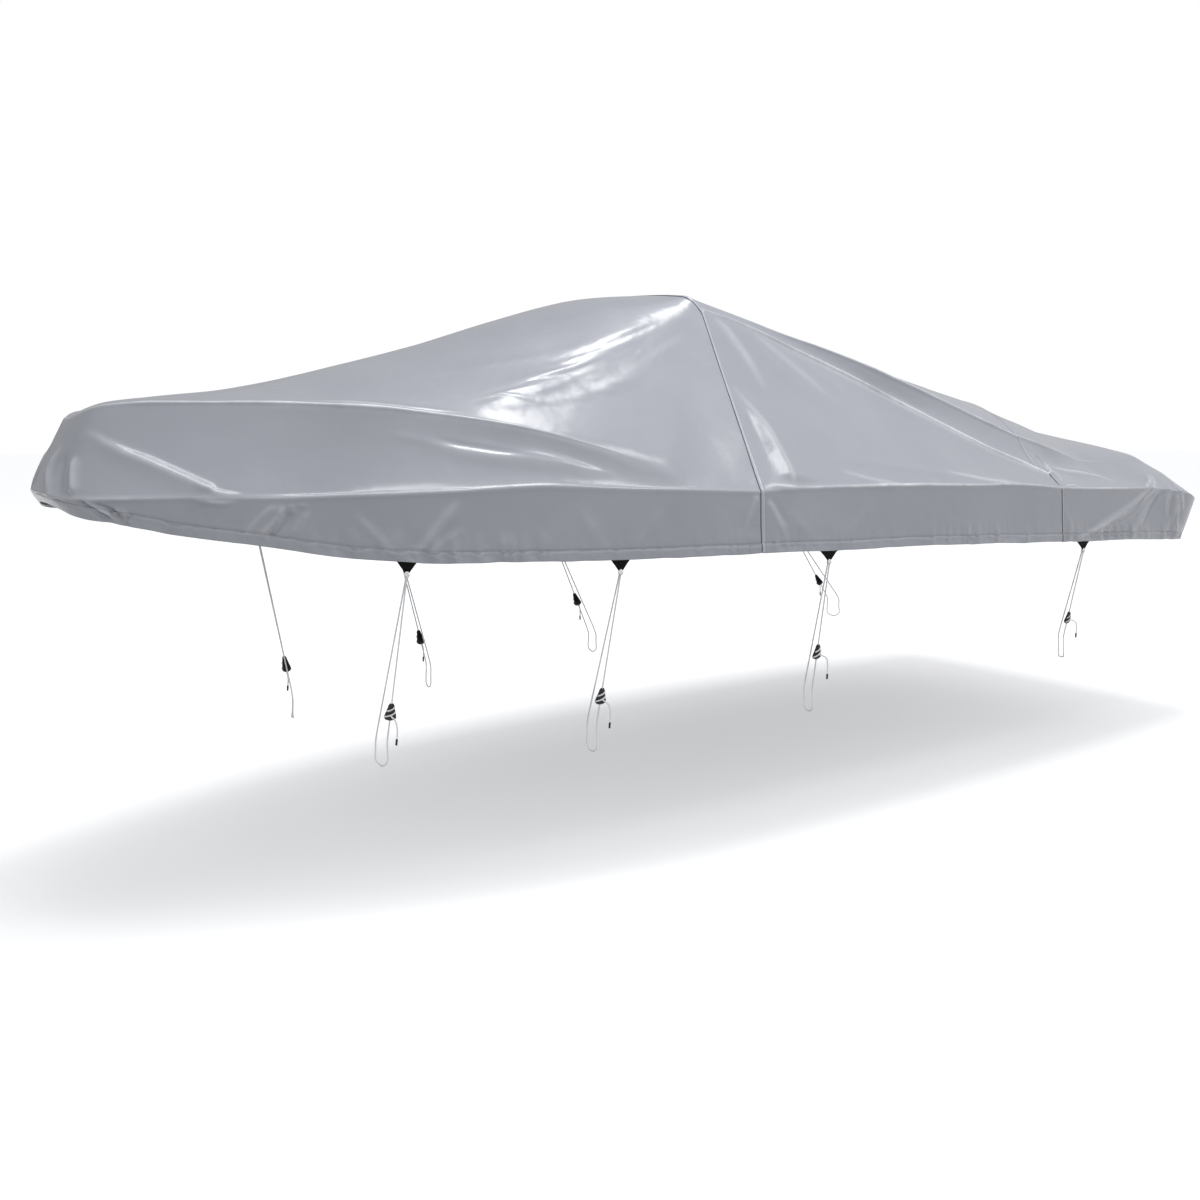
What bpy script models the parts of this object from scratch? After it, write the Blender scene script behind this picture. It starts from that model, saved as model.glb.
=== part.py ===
"""Fitted boat cover for an open runabout about 6 m long, in its hung shape.

Three grey coated-polyester panels are sewn edge to edge. The front panel falls
over the bow and its rail and climbs to the top of the windscreen. The rear
panel runs down from there, and the stern panel closes the back. A cover strip
is sewn over each seam. Eight black webbing tabs are sewn behind the hem. Each
carries a white cord, hitched at the tab's foot, that goes down, round a frame
member 50 mm thick (not part of the cover) and up into a black cord lock.

Frame: +X runs from bow to stern, +Z is up, and Y = 0 is the plane of symmetry.
The origin is the point under the cover's top where the windscreen frame holds
it up. Station tables are in metres from the ground and from a datum near the
bow, which DATUM moves to the origin.
"""
import math

import bpy
import numpy as np

# ---------------------------------------------------------------- sizes (m)
CLOTH = 0.002          # thickness of a panel, hem and lap included
SEAM_GAP = 0.0018      # between two panels' edges, under the strip
GAP = 0.0003           # between touching pieces
STRIP_THICK = 0.0012
MAIN_STRIP_HALF = 0.009
REAR_STRIP_HALF = 0.006
DATUM = (2.200, 0.0, 2.284)   # hung point, in the stations' frame

CORD_D = 0.006
TAB_FOOT = 0.014
TAB_DROP = 0.043       # below the hem's edge
TAB_LAP = 0.016        # sewn behind the hem
TAB_THICK = 0.002
LOCK_LONG = 0.072
LOCK_WIDE = 0.046
LOCK_DEEP = 0.026
TIP_LONG = 0.024
TIP_D = 0.0085
RAIL_WIDE = 0.050      # the frame member that a tie goes round

# --------------------------------------------------------------- stations
# One row is one rib of the cover, from its centre line down to its hem.
# c: centre line, r: upper ridge, m: rail or hip ridge, g: gunwale, h: hem.
# x is along the boat, w the half width, z the height above the ground.
# crown is the power of the arch between c and r. sag is how far the cloth
# hangs in between m and g. dip is how deep a trough it makes between r and m,
# from 0, straight, to 1.
COLUMNS = ("cx cz  rx rw rz  mx mw mz  gx gw gz  hx hw hz  crown sag dip").split()

FRONT = [
    # cx    cz     rx     rw    rz      mx     mw     mz      gx     gw     gz      hx     hw     hz    crown  sag   dip
    (0.30, 1.802,  0.00, 0.00, 1.772, -0.098, 0.00, 1.716, -0.210, 0.00, 1.468, -0.190, 0.00, 1.428, 2.2, 0.000, 0.0),
    (0.31, 1.803,  0.02, 0.07, 1.774, -0.084, 0.10, 1.728, -0.194, 0.11, 1.461, -0.176, 0.11, 1.421, 2.2, 0.000, 0.0),
    (0.34, 1.807,  0.09, 0.13, 1.782, -0.036, 0.19, 1.758, -0.140, 0.26, 1.449, -0.130, 0.25, 1.392, 2.2, 0.002, 0.0),
    (0.41, 1.816,  0.20, 0.18, 1.795,  0.064, 0.27, 1.772, -0.020, 0.37, 1.449, -0.030, 0.358, 1.372, 2.1, 0.005, 0.0),
    (0.53, 1.834,  0.37, 0.22, 1.806,  0.260, 0.34, 1.779,  0.190, 0.475, 1.452,  0.185, 0.466, 1.322, 2.0, 0.010, 0.0),
    (0.68, 1.872,  0.58, 0.28, 1.822,  0.490, 0.43, 1.779,  0.450, 0.585, 1.448,  0.450, 0.583, 1.276, 1.8, 0.014, 0.0),
    (0.90, 1.930,  0.83, 0.44, 1.832,  0.780, 0.57, 1.769,  0.750, 0.705, 1.454,  0.750, 0.706, 1.227, 1.7, 0.016, 0.0),
    (1.16, 1.998,  1.10, 0.59, 1.790,  1.060, 0.67, 1.738,  1.050, 0.812, 1.461,  1.050, 0.814, 1.204, 1.6, 0.016, 0.0),
    (1.42, 2.074,  1.33, 0.63, 1.830,  1.320, 0.78, 1.692,  1.350, 0.893, 1.473,  1.350, 0.896, 1.194, 1.6, 0.014, 0.0),
    (1.70, 2.164,  1.62, 0.58, 1.930,  1.600, 0.885, 1.620,  1.650, 0.960, 1.456,  1.650, 0.963, 1.187, 1.7, 0.008, 0.0),
    (1.96, 2.241,  1.94, 0.53, 2.052,  1.880, 0.965, 1.540,  1.950, 1.013, 1.443,  1.950, 1.017, 1.182, 2.1, 0.004, 0.0),
    (2.15, 2.282,  2.19, 0.49, 2.170,  2.165, 0.765, 1.795,  2.150, 1.040, 1.434,  2.150, 1.044, 1.180, 2.8, 0.002, 0.0),
    (2.34, 2.298,  2.42, 0.46, 2.272,  2.450, 0.505, 2.212,  2.298, 1.058, 1.427,  2.300, 1.062, 1.178, 3.0, 0.000, 0.0),
]

REAR = [
    (2.34, 2.298,  2.42, 0.46, 2.272,  2.450, 0.505, 2.212,  2.298, 1.058, 1.427,  2.300, 1.062, 1.178, 3.0, 0.000, 0.0),
    (2.50, 2.276,  2.56, 0.475, 2.228,  2.620, 0.520, 2.172,  2.560, 1.067, 1.434,  2.560, 1.071, 1.168, 3.0, 0.002, 0.2),
    (2.83, 2.204,  2.88, 0.520, 2.138,  2.930, 0.555, 2.066,  2.860, 1.074, 1.430,  2.860, 1.078, 1.160, 3.0, 0.006, 0.5),
    (3.22, 2.098,  3.26, 0.575, 2.039,  3.330, 0.605, 1.922,  3.240, 1.079, 1.424,  3.240, 1.083, 1.150, 3.0, 0.010, 0.8),
    (3.60, 2.012,  3.62, 0.645, 1.920,  3.650, 0.680, 1.783,  3.610, 1.080, 1.411,  3.610, 1.084, 1.136, 3.1, 0.010, 1.0),
    (3.98, 1.938,  3.98, 0.725, 1.780,  4.000, 0.840, 1.600,  3.980, 1.078, 1.403,  3.980, 1.082, 1.118, 3.2, 0.006, 1.0),
    (4.40, 1.852,  4.40, 0.800, 1.629,  4.390, 0.985, 1.441,  4.380, 1.070, 1.371,  4.380, 1.074, 1.098, 3.3, 0.000, 0.9),
]

STERN = [
    (4.40, 1.852,  4.40, 0.800, 1.629,  4.390, 0.985, 1.441,  4.380, 1.070, 1.371,  4.380, 1.074, 1.098, 3.3, 0.000, 0.9),
    (4.70, 1.768,  4.70, 0.800, 1.560,  4.700, 0.850, 1.467,  4.700, 1.062, 1.357,  4.700, 1.066, 1.082, 3.3, 0.000, 0.8),
    (5.00, 1.682,  5.05, 0.800, 1.484, 5.050, 0.935, 1.394,  5.050, 1.049, 1.345,  5.060, 1.052, 1.066, 3.2, 0.000, 0.5),
    (5.15, 1.642,  5.38, 0.79, 1.494,  5.390, 0.935, 1.412,  5.350, 1.036, 1.335,  5.330, 1.036, 1.052, 3.0, 0.000, 0.3),
    (5.24, 1.616,  5.57, 0.77, 1.504,  5.650, 0.900, 1.408,  5.675, 1.034, 1.296,  5.572, 1.030, 1.037, 2.6, 0.000, 0.1),
    (5.29, 1.602,  5.62, 0.70, 1.510,  5.730, 0.810, 1.408,  5.835, 0.983, 1.254,  5.660, 0.996, 1.032, 2.4, 0.000, 0.0),
    (5.31, 1.598,  5.64, 0.52, 1.519,  5.765, 0.590, 1.424,  5.880, 0.712, 1.262,  5.695, 0.772, 1.032, 2.2, 0.002, 0.0),
    (5.32, 1.596,  5.65, 0.26, 1.528,  5.780, 0.290, 1.438,  5.885, 0.350, 1.272,  5.700, 0.380, 1.034, 2.0, 0.004, 0.0),
    (5.32, 1.596,  5.65, 0.00, 1.532,  5.785, 0.000, 1.444,  5.890, 0.000, 1.276,  5.705, 0.000, 1.035, 2.0, 0.004, 0.0),
]

# Where a rib is sampled: (leg, steps). Each leg runs to the next ridge.
LEGS = (("crown", 5), ("shoulder", 2), ("side", 3), ("skirt", 2))

# ------------------------------------------------------------------- ties
# x, w, z: the tab's foot. wide: its width at the hem. rx, rw, rz: the lower front edge of the member.
# bx: where the cord goes behind it, bz: its top. lock: how far down the front
# run the lock sits. tx, tz: where the tail hangs to, from the lock.
TIE_COLUMNS = "name x w z rx rw rz bx bz lock tx tz wide".split()
TIES = [
    ("1", 0.868, 0.738, 1.166, 0.925, 0.470, 0.419, 0.905, 0.510, 0.670, 0.030, -0.085, 0.075),
    ("2", 1.653, 0.962, 1.142, 1.713, 0.720, 0.400, 1.708, 0.510, 0.645, 0.040, -0.090, 0.080),
    ("3", 2.670, 1.073, 1.113, 2.796, 0.850, 0.428, 2.806, 0.530, 0.550, 0.048, -0.090, 0.102),
    ("4", 4.568, 1.070, 1.046, 4.726, 0.850, 0.436, 4.770, 0.550, 0.575, 0.046, -0.080, 0.116),
]

# ---------------------------------------------------------------- geometry
def smooth_rows(table, steps):
    """Ribs between the table's rows, on a cubic curve through each column."""
    rows = np.array(table, dtype=float)
    n = len(rows)
    slope = np.zeros_like(rows)
    for k in range(n):
        if k == 0:
            slope[k] = rows[1] - rows[0]
        elif k == n - 1:
            slope[k] = rows[-1] - rows[-2]
        else:
            a, b = rows[k] - rows[k - 1], rows[k + 1] - rows[k]
            same = a * b > 0
            slope[k] = np.where(same, 2 * a * b / np.where(same, a + b, 1.0), 0.0)
    out = []
    for k in range(n - 1):
        for i in range(steps[k]):
            t = i / steps[k]
            h00, h10 = 2 * t**3 - 3 * t**2 + 1, t**3 - 2 * t**2 + t
            h01, h11 = -2 * t**3 + 3 * t**2, t**3 - t**2
            out.append(h00 * rows[k] + h10 * slope[k] + h01 * rows[k + 1] + h11 * slope[k + 1])
    out.append(rows[-1])
    return [dict(zip(COLUMNS, r)) for r in out]


def rib(s):
    """Points of one rib on the +Y side, from the centre line to the hem."""
    c = np.array((s["cx"], 0.0, s["cz"]))
    r = np.array((s["rx"], s["rw"], s["rz"]))
    m = np.array((s["mx"], s["mw"], s["mz"]))
    g = np.array((s["gx"], s["gw"], s["gz"]))
    h = np.array((s["hx"], s["hw"], s["hz"]))
    knee = (r + m) / 2
    knee = knee + s["dip"] * (np.array((knee[0], r[1] * 0.65 + m[1] * 0.35, r[2] * 0.15 + m[2] * 0.85)) - knee)
    points = [c]
    for leg, steps in LEGS:
        for i in range(1, steps + 1):
            f = i / steps
            if leg == "crown":
                f = 1.0 - (1.0 - f) ** 1.35
                p = c + (r - c) * f
                p[2] = r[2] + (c[2] - r[2]) * (1.0 - f ** s["crown"])
            elif leg == "shoulder":
                p = (1 - f) ** 2 * r + 2 * f * (1 - f) * knee + f**2 * m
            elif leg == "side":
                p = m + (g - m) * f
                p[2] -= s["sag"] * 4 * f * (1 - f) * 0.6
                p[1] -= s["sag"] * 4 * f * (1 - f) * (1.0 if s["mw"] > 0.05 else 0.0)
            else:
                p = g + (h - g) * f
            points.append(p)
    return np.array(points)


def panel_rows(table, steps, start=None, end=None):
    """A panel's ribs. start and end are half the width of the strip there."""
    rows = [rib(s) for s in smooth_rows(table, steps)]
    if end:
        inward = rows[-2] - rows[-1]
        inward /= np.linalg.norm(inward, axis=1)[:, None]
        rows[-1:] = [rows[-1] + inward * end, rows[-1] + inward * (SEAM_GAP / 2)]
    if start:
        inward = rows[1] - rows[0]
        inward /= np.linalg.norm(inward, axis=1)[:, None]
        rows[:1] = [rows[0] + inward * (SEAM_GAP / 2), rows[0] + inward * start]
    return rows


def placed(points):
    return [tuple(float(p[k]) - DATUM[k] for k in range(3)) for p in points]


# ----------------------------------------------------------------- objects
for o in list(bpy.data.objects):
    bpy.data.objects.remove(o, do_unlink=True)

cover = bpy.data.collections.new("boat_cover")
bpy.context.scene.collection.children.link(cover)


def material(name, colour, roughness, metallic=0.0):
    m = bpy.data.materials.new(name)
    m.use_nodes = True
    b = m.node_tree.nodes["Principled BSDF"]
    b.inputs["Base Color"].default_value = (*colour, 1.0)
    b.inputs["Roughness"].default_value = roughness
    b.inputs["Metallic"].default_value = metallic
    return m


CLOTH_GREY = material("coated_cloth_grey", (0.36, 0.37, 0.40), 0.32)
STRIP_GREY = material("seam_strip_grey", (0.42, 0.43, 0.46), 0.35)
WEB_BLACK = material("webbing_black", (0.012, 0.012, 0.013), 0.7)
CORD_WHITE = material("cord_white", (0.86, 0.86, 0.87), 0.6)
LOCK_BLACK = material("lock_plastic_black", (0.015, 0.015, 0.016), 0.45)


def add(name, data, mat):
    o = bpy.data.objects.new(name, data)
    data.materials.append(mat)
    cover.objects.link(o)
    return o


def lofted(name, rows, mat, offset, thick, lift=None):
    """A sheet through the ribs, mirrored to the other side and thickened."""
    n = len(rows[0])
    verts = [p for row in rows for p in placed(row)]
    faces = []
    for i in range(len(rows) - 1):
        for j in range(n - 1):
            a, b, c, d = i * n + j, i * n + j + 1, (i + 1) * n + j + 1, (i + 1) * n + j
            faces.append((a, d, c, b))
    mesh = bpy.data.meshes.new(name)
    mesh.from_pydata(verts, [], faces)
    mesh.update()
    o = add(name, mesh, mat)
    mirror = o.modifiers.new("other_side", "MIRROR")
    mirror.use_axis = (False, True, False)
    mirror.use_clip = True
    mirror.merge_threshold = 0.0001
    shell = o.modifiers.new("cloth", "SOLIDIFY")
    shell.thickness = thick
    shell.offset = offset
    shell.use_even_offset = False
    return o


def row_normals(before, row, after):
    """Outward normals along one rib, from its neighbours."""
    along = after - before
    across = np.gradient(row, axis=0)
    nrm = np.cross(along, across)
    nrm[0, 1] = 0.0
    nrm /= np.linalg.norm(nrm, axis=1)[:, None]
    return nrm


front_rows = panel_rows(FRONT, (1, 1, 2, 2, 2, 2, 2, 2, 2, 2, 2, 2), end=MAIN_STRIP_HALF)
rear_rows = panel_rows(REAR, (1, 2, 2, 2, 2, 2), start=MAIN_STRIP_HALF, end=REAR_STRIP_HALF)
stern_rows = panel_rows(STERN, (2, 2, 1, 2, 1, 1, 1, 1), start=REAR_STRIP_HALF)

lofted("front_panel", front_rows, CLOTH_GREY, -1.0, CLOTH)
lofted("rear_panel", rear_rows, CLOTH_GREY, -1.0, CLOTH)
lofted("stern_panel", stern_rows, CLOTH_GREY, -1.0, CLOTH)


def strip(name, ahead, behind, thick):
    """A strip over a seam, lying on the two ribs next to it."""
    a, b = ahead[-2], behind[1]
    mid = (ahead[-1] + behind[0]) / 2
    lift = []
    for row, lo, hi in ((a, ahead[-3], ahead[-1]), (mid, a, b), (b, behind[0], behind[2])):
        nrm = row_normals(lo, row, hi)
        lift.append(row + nrm * (GAP + 0.0002))
    rows = []
    for row in lift:
        row = row.copy()
        row[0, 1] = 0.0
        row[-1] += (row[-2] - row[-1]) * 0.004      # ends just above the hem's edge
        rows.append(row)
    return lofted(name, rows, STRIP_GREY, 1.0, thick)


strip("main_seam_strip", front_rows, rear_rows, STRIP_THICK)
strip("rear_seam_strip", rear_rows, stern_rows, STRIP_THICK)


def hem_at(x):
    """Hem point and the skirt's lean, at a place along the boat (+Y side)."""
    rows = front_rows + rear_rows + stern_rows
    for lo, hi in zip(rows, rows[1:]):
        a, b = lo[-1], hi[-1]
        if a[1] > 0.3 and a[0] <= x <= b[0] and b[0] > a[0]:
            t = (x - a[0]) / (b[0] - a[0])
            foot = a + (b - a) * t
            above = lo[-2] + (hi[-2] - lo[-2]) * t
            along = (b - a) / np.linalg.norm(b - a)
            return foot, above, along
    raise ValueError("no hem there")


def solid(name, verts, faces, mat):
    mesh = bpy.data.meshes.new(name)
    mesh.from_pydata([tuple(v) for v in verts], [], faces)
    mesh.update()
    return add(name, mesh, mat)


def slab(name, outline, normal, thick, mat):
    """A flat outline given as points, thickened along normal."""
    n = len(outline)
    front = [np.array(p) for p in outline]
    back = [p - normal * thick for p in front]
    verts = placed(front + back)
    area = sum((np.cross(front[i] - front[0], front[(i + 1) % n] - front[0]) for i in range(n)), np.zeros(3))
    order = list(range(n)) if np.dot(area, normal) > 0 else list(range(n))[::-1]
    faces = [tuple(order), tuple(i + n for i in order[::-1])]
    for k in range(n):
        i, j = order[k], order[(k + 1) % n]
        faces.append((i, i + n, j + n, j))
    return solid(name, verts, faces, mat)


def tube(name, points, dia, mat):
    """A cord along a smooth curve through the points."""
    curve = bpy.data.curves.new(name, "CURVE")
    curve.dimensions = "3D"
    curve.bevel_depth = dia / 2
    curve.bevel_resolution = 2
    curve.use_fill_caps = True
    spline = curve.splines.new("POLY")
    pts = placed(points)
    spline.points.add(len(pts) - 1)
    for p, q in zip(spline.points, pts):
        p.co = (*q, 1.0)
    return add(name, curve, mat)


def bend(points, spacing):
    """Centripetal Catmull-Rom curve through the points, about spacing apart."""
    p = [np.array(q, dtype=float) for q in points]
    p = [2 * p[0] - p[1]] + p + [2 * p[-1] - p[-2]]
    out = []
    for i in range(1, len(p) - 2):
        a, b, c, d = p[i - 1 : i + 3]
        t0 = 0.0
        t1 = t0 + math.sqrt(np.linalg.norm(b - a))
        t2 = t1 + math.sqrt(np.linalg.norm(c - b))
        t3 = t2 + math.sqrt(np.linalg.norm(d - c))
        k = max(1, int(round(np.linalg.norm(c - b) / spacing)))
        for j in range(k):
            t = t1 + (t2 - t1) * j / k
            a1 = a * (t1 - t) / (t1 - t0) + b * (t - t0) / (t1 - t0)
            a2 = b * (t2 - t) / (t2 - t1) + c * (t - t1) / (t2 - t1)
            a3 = c * (t3 - t) / (t3 - t2) + d * (t - t2) / (t3 - t2)
            b1 = a1 * (t2 - t) / (t2 - t0) + a2 * (t - t0) / (t2 - t0)
            b2 = a2 * (t3 - t) / (t3 - t1) + a3 * (t - t1) / (t3 - t1)
            out.append(b1 * (t2 - t) / (t2 - t1) + b2 * (t - t1) / (t2 - t1))
    out.append(p[-2])
    return out


def lock_solid(name, top, axis, across, out, mat):
    """A cord lock: a flattened cone, narrow at the top, with a round foot."""
    profile = (  # distance down from the top, half width, as shares of the size
        (0.00, 0.17), (0.10, 0.24), (0.42, 0.36), (0.70, 0.48), (0.84, 0.50), (0.95, 0.40), (1.00, 0.22),
    )
    sides = 10
    verts, faces = [], []
    for down, half in profile:
        centre = top + axis * (LOCK_LONG * down)
        for k in range(sides):
            a = 2 * math.pi * k / sides
            verts.append(centre + across * (LOCK_WIDE * half * math.cos(a)) + out * (LOCK_DEEP * half * math.sin(a)))
    rings = len(profile)
    for i in range(rings - 1):
        for k in range(sides):
            j = (k + 1) % sides
            faces.append((i * sides + k, i * sides + j, (i + 1) * sides + j, (i + 1) * sides + k))
    faces.append(tuple(range(sides))[::-1])
    faces.append(tuple(range((rings - 1) * sides, rings * sides)))
    o = solid(name, placed(verts), faces, mat)
    volume = sum(
        np.dot(verts[f[0]], np.cross(verts[f[k]], verts[f[k + 1]])) for f in faces for k in range(1, len(f) - 1)
    )
    if volume < 0:
        o.data.flip_normals()
    return o


def unit(v):
    v = np.array(v, dtype=float)
    return v / np.linalg.norm(v)


def tie(row, side, side_name):
    """One tab with its cord, lock, tail and tip. side is -1 or +1 in Y."""
    t = dict(zip(TIE_COLUMNS, row))
    tag = f"{side_name}_{t['name']}"
    flip = np.array((1.0, side, 1.0))
    foot, above, along = hem_at(t["x"])
    up = unit(above - foot)
    normal = unit(np.cross(along, up))
    if normal[1] < 0:
        normal = -normal
    # The tab lies behind the hem, a gap inside the cloth.
    inner = foot - normal * (CLOTH + GAP + 0.0016)
    top_c = inner + up * TAB_LAP
    foot_c = inner - up * TAB_DROP
    outline = [
        top_c - along * (t["wide"] / 2), inner - along * (t["wide"] / 2),
        foot_c - along * (TAB_FOOT / 2), foot_c + along * (TAB_FOOT / 2),
        inner + along * (t["wide"] / 2), top_c + along * (t["wide"] / 2),
    ]
    slab(f"tab_{tag}", [p * flip for p in outline], normal * flip, TAB_THICK, WEB_BLACK)

    eye = foot_c - normal * (TAB_THICK / 2) - up * (GAP + CORD_D / 2 + 0.0002)
    r = CORD_D / 2
    apart = normal * (CORD_D * 0.62) + along * 0.0006
    # Corners of the member's section, the cord's centre line a gap outside it.
    clear = r + 0.001
    front = np.array((t["rx"], t["rw"] + clear, t["rz"]))
    low_front = np.array((t["rx"], t["rw"] + clear, t["rz"] + 0.012))
    under = np.array(((t["rx"] + t["bx"]) / 2, t["rw"] - RAIL_WIDE / 2, t["rz"] - clear))
    low_back = np.array((t["bx"], t["rw"] - RAIL_WIDE - clear, t["rz"] + 0.012))
    top_back = np.array((t["bx"], t["rw"] - RAIL_WIDE - clear, t["bz"]))
    front_top = np.array((t["rx"], t["rw"] + clear, t["bz"]))

    # Lead: from the hitch straight down to the lock's top.
    lead_from = eye + apart
    run = front_top - lead_from
    whole = front - lead_from
    axis = unit(run)
    reach = abs(whole[2]) * t["lock"] / abs(axis[2])
    lock_top = lead_from + axis * reach
    lead = [lead_from + (lock_top - lead_from) * f - axis * (GAP if f == 1 else 0.0) for f in (0.0, 0.02, 0.5, 1.0)]
    tube(f"cord_lead_{tag}", [p * flip for p in lead], CORD_D, CORD_WHITE)

    across = unit(np.cross(axis, normal))
    outward = unit(np.cross(across, axis))
    lock_solid(f"lock_{tag}", lock_top * flip, axis * flip, across * flip, outward * flip, LOCK_BLACK)
    lock_foot = lock_top + axis * LOCK_LONG

    # Loop: from the hitch down behind the member, under it and up to the lock.
    loop_from = eye - apart
    q = under + np.array((0, 0.010, 0))
    p = under - np.array((0, 0.010, 0))
    rounded = bend([top_back + unit(loop_from - top_back) * 0.04, top_back - np.array((0, 0, 0.012)),
                    (top_back + low_back) / 2, low_back, p, q, low_front, front_top - np.array((0, 0, 0.01)),
                    front_top + unit(lock_foot - front_top) * 0.03], 0.024)
    first = [loop_from + (rounded[0] - loop_from) * f for f in (0.0, 0.02, 0.5)]
    last = [lock_foot + axis * GAP]
    tube(f"cord_loop_{tag}", [v * flip for v in first + rounded + last], CORD_D, CORD_WHITE)

    # Tail: out of the lock's shoulder, then hanging.
    side_dir = unit((1.0, 0.0, 0.0) - axis * axis[0])
    start = lock_top + axis * (LOCK_LONG * 0.62) + outward * (LOCK_DEEP * 0.43 + GAP + 0.0012)
    out1 = start + outward * 0.010 + side_dir * 0.004
    knee = start + outward * 0.014 + side_dir * t["tx"] * 0.6 + np.array((0, 0, -0.016))
    end = start + outward * 0.010 + side_dir * t["tx"] * 0.8 + np.array((0, 0, t["tz"]))
    mid = knee * 0.45 + end * 0.55 + side_dir * 0.005
    tail = bend([start, out1, knee, mid, end], 0.010)
    tube(f"cord_tail_{tag}", [v * flip for v in tail], CORD_D, CORD_WHITE)
    way = unit(tail[-1] - tail[-2])
    tip = [tail[-1] + way * (GAP + d * TIP_LONG) for d in (0.0, 0.5, 1.0)]
    tube(f"cord_tip_{tag}", [v * flip for v in tip], TIP_D, LOCK_BLACK)


for row in TIES:
    tie(row, -1.0, "near")
    tie(row, 1.0, "far")
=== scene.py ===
"""Looks of the fitted boat cover: three coated-polyester panels with their folds,
seam strips and hem, eight webbing tabs and their cords, locks and tips.

Station tables and the ties' table are the same as the CAD part's, in metres
from the ground and from a datum near the bow; DATUM moves them to the row frame.
"""

import math

import bpy
import numpy as np
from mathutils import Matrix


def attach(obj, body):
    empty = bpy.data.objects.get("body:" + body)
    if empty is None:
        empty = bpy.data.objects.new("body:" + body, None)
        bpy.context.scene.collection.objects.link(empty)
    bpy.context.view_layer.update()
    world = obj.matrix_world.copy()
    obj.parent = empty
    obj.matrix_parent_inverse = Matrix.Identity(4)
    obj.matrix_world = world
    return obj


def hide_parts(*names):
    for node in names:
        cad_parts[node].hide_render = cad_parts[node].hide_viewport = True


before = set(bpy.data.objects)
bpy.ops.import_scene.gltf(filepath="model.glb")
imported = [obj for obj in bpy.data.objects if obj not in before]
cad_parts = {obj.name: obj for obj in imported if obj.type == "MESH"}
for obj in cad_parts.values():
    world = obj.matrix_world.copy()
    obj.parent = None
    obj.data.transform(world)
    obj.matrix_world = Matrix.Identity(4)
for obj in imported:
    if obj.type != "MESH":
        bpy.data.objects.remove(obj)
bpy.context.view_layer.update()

DATUM = (2.200, 0.0, 2.284)
CORD_D = 0.006
GAP = 0.0003
CLOTH = 0.002
TAB_FOOT, TAB_DROP, TAB_LAP, TAB_THICK = 0.014, 0.043, 0.016, 0.002
LOCK_LONG, LOCK_WIDE, LOCK_DEEP = 0.072, 0.046, 0.026
TIP_LONG, TIP_D = 0.024, 0.0085
RAIL_WIDE = 0.050
HEM = 0.040            # height of the hem band
HEM_FOLD = 0.0034      # thickness of the turned hem
STRIP_HALF = 0.009

# ---------------------------------------------------------------- stations
COLUMNS = ("cx cz  rx rw rz  mx mw mz  gx gw gz  hx hw hz  crown sag dip  rr mr gr").split()
# The last three are how round the cloth is over each ridge (radius, m).
FRONT = [
    (0.30, 1.802,  0.00, 0.00, 1.772, -0.098, 0.00, 1.716, -0.210, 0.00, 1.468, -0.178, 0.00, 1.428, 2.2, 0.000, 0.0, 0.050, 0.022, 0.016),
    (0.31, 1.803,  0.02, 0.07, 1.774, -0.084, 0.10, 1.736, -0.194, 0.11, 1.461, -0.166, 0.11, 1.421, 2.2, 0.000, 0.0, 0.050, 0.020, 0.016),
    (0.34, 1.807,  0.09, 0.13, 1.782, -0.036, 0.19, 1.765, -0.140, 0.26, 1.449, -0.124, 0.25, 1.392, 2.2, 0.002, 0.0, 0.060, 0.016, 0.014),
    (0.41, 1.816,  0.20, 0.18, 1.795,  0.064, 0.27, 1.775, -0.020, 0.37, 1.449, -0.030, 0.358, 1.372, 2.1, 0.005, 0.0, 0.070, 0.013, 0.012),
    (0.53, 1.834,  0.37, 0.22, 1.806,  0.260, 0.34, 1.779,  0.190, 0.475, 1.452,  0.185, 0.466, 1.322, 2.0, 0.010, 0.0, 0.090, 0.012, 0.012),
    (0.68, 1.872,  0.58, 0.28, 1.822,  0.490, 0.43, 1.779,  0.450, 0.585, 1.448,  0.450, 0.583, 1.276, 1.8, 0.014, 0.0, 0.120, 0.012, 0.012),
    (0.90, 1.930,  0.83, 0.44, 1.832,  0.780, 0.57, 1.769,  0.750, 0.705, 1.454,  0.750, 0.706, 1.227, 1.7, 0.016, 0.0, 0.160, 0.013, 0.011),
    (1.16, 1.998,  1.10, 0.59, 1.790,  1.060, 0.67, 1.738,  1.050, 0.812, 1.461,  1.050, 0.814, 1.204, 1.6, 0.016, 0.0, 0.190, 0.015, 0.010),
    (1.42, 2.074,  1.33, 0.63, 1.830,  1.320, 0.78, 1.692,  1.350, 0.893, 1.473,  1.350, 0.896, 1.194, 1.6, 0.014, 0.0, 0.200, 0.020, 0.010),
    (1.70, 2.164,  1.62, 0.58, 1.930,  1.600, 0.885, 1.620,  1.650, 0.960, 1.456,  1.650, 0.963, 1.187, 1.7, 0.008, 0.0, 0.220, 0.045, 0.010),
    (1.96, 2.241,  1.94, 0.53, 2.052,  1.880, 0.965, 1.540,  1.950, 1.013, 1.443,  1.950, 1.017, 1.182, 2.1, 0.004, 0.0, 0.190, 0.120, 0.010),
    (2.15, 2.282,  2.19, 0.49, 2.170,  2.165, 0.765, 1.795,  2.150, 1.040, 1.434,  2.150, 1.044, 1.180, 2.8, 0.002, 0.0, 0.130, 0.180, 0.010),
    (2.34, 2.298,  2.42, 0.46, 2.272,  2.450, 0.505, 2.212,  2.298, 1.058, 1.427,  2.300, 1.062, 1.178, 3.0, 0.000, 0.0, 0.060, 0.060, 0.010),
]
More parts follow.
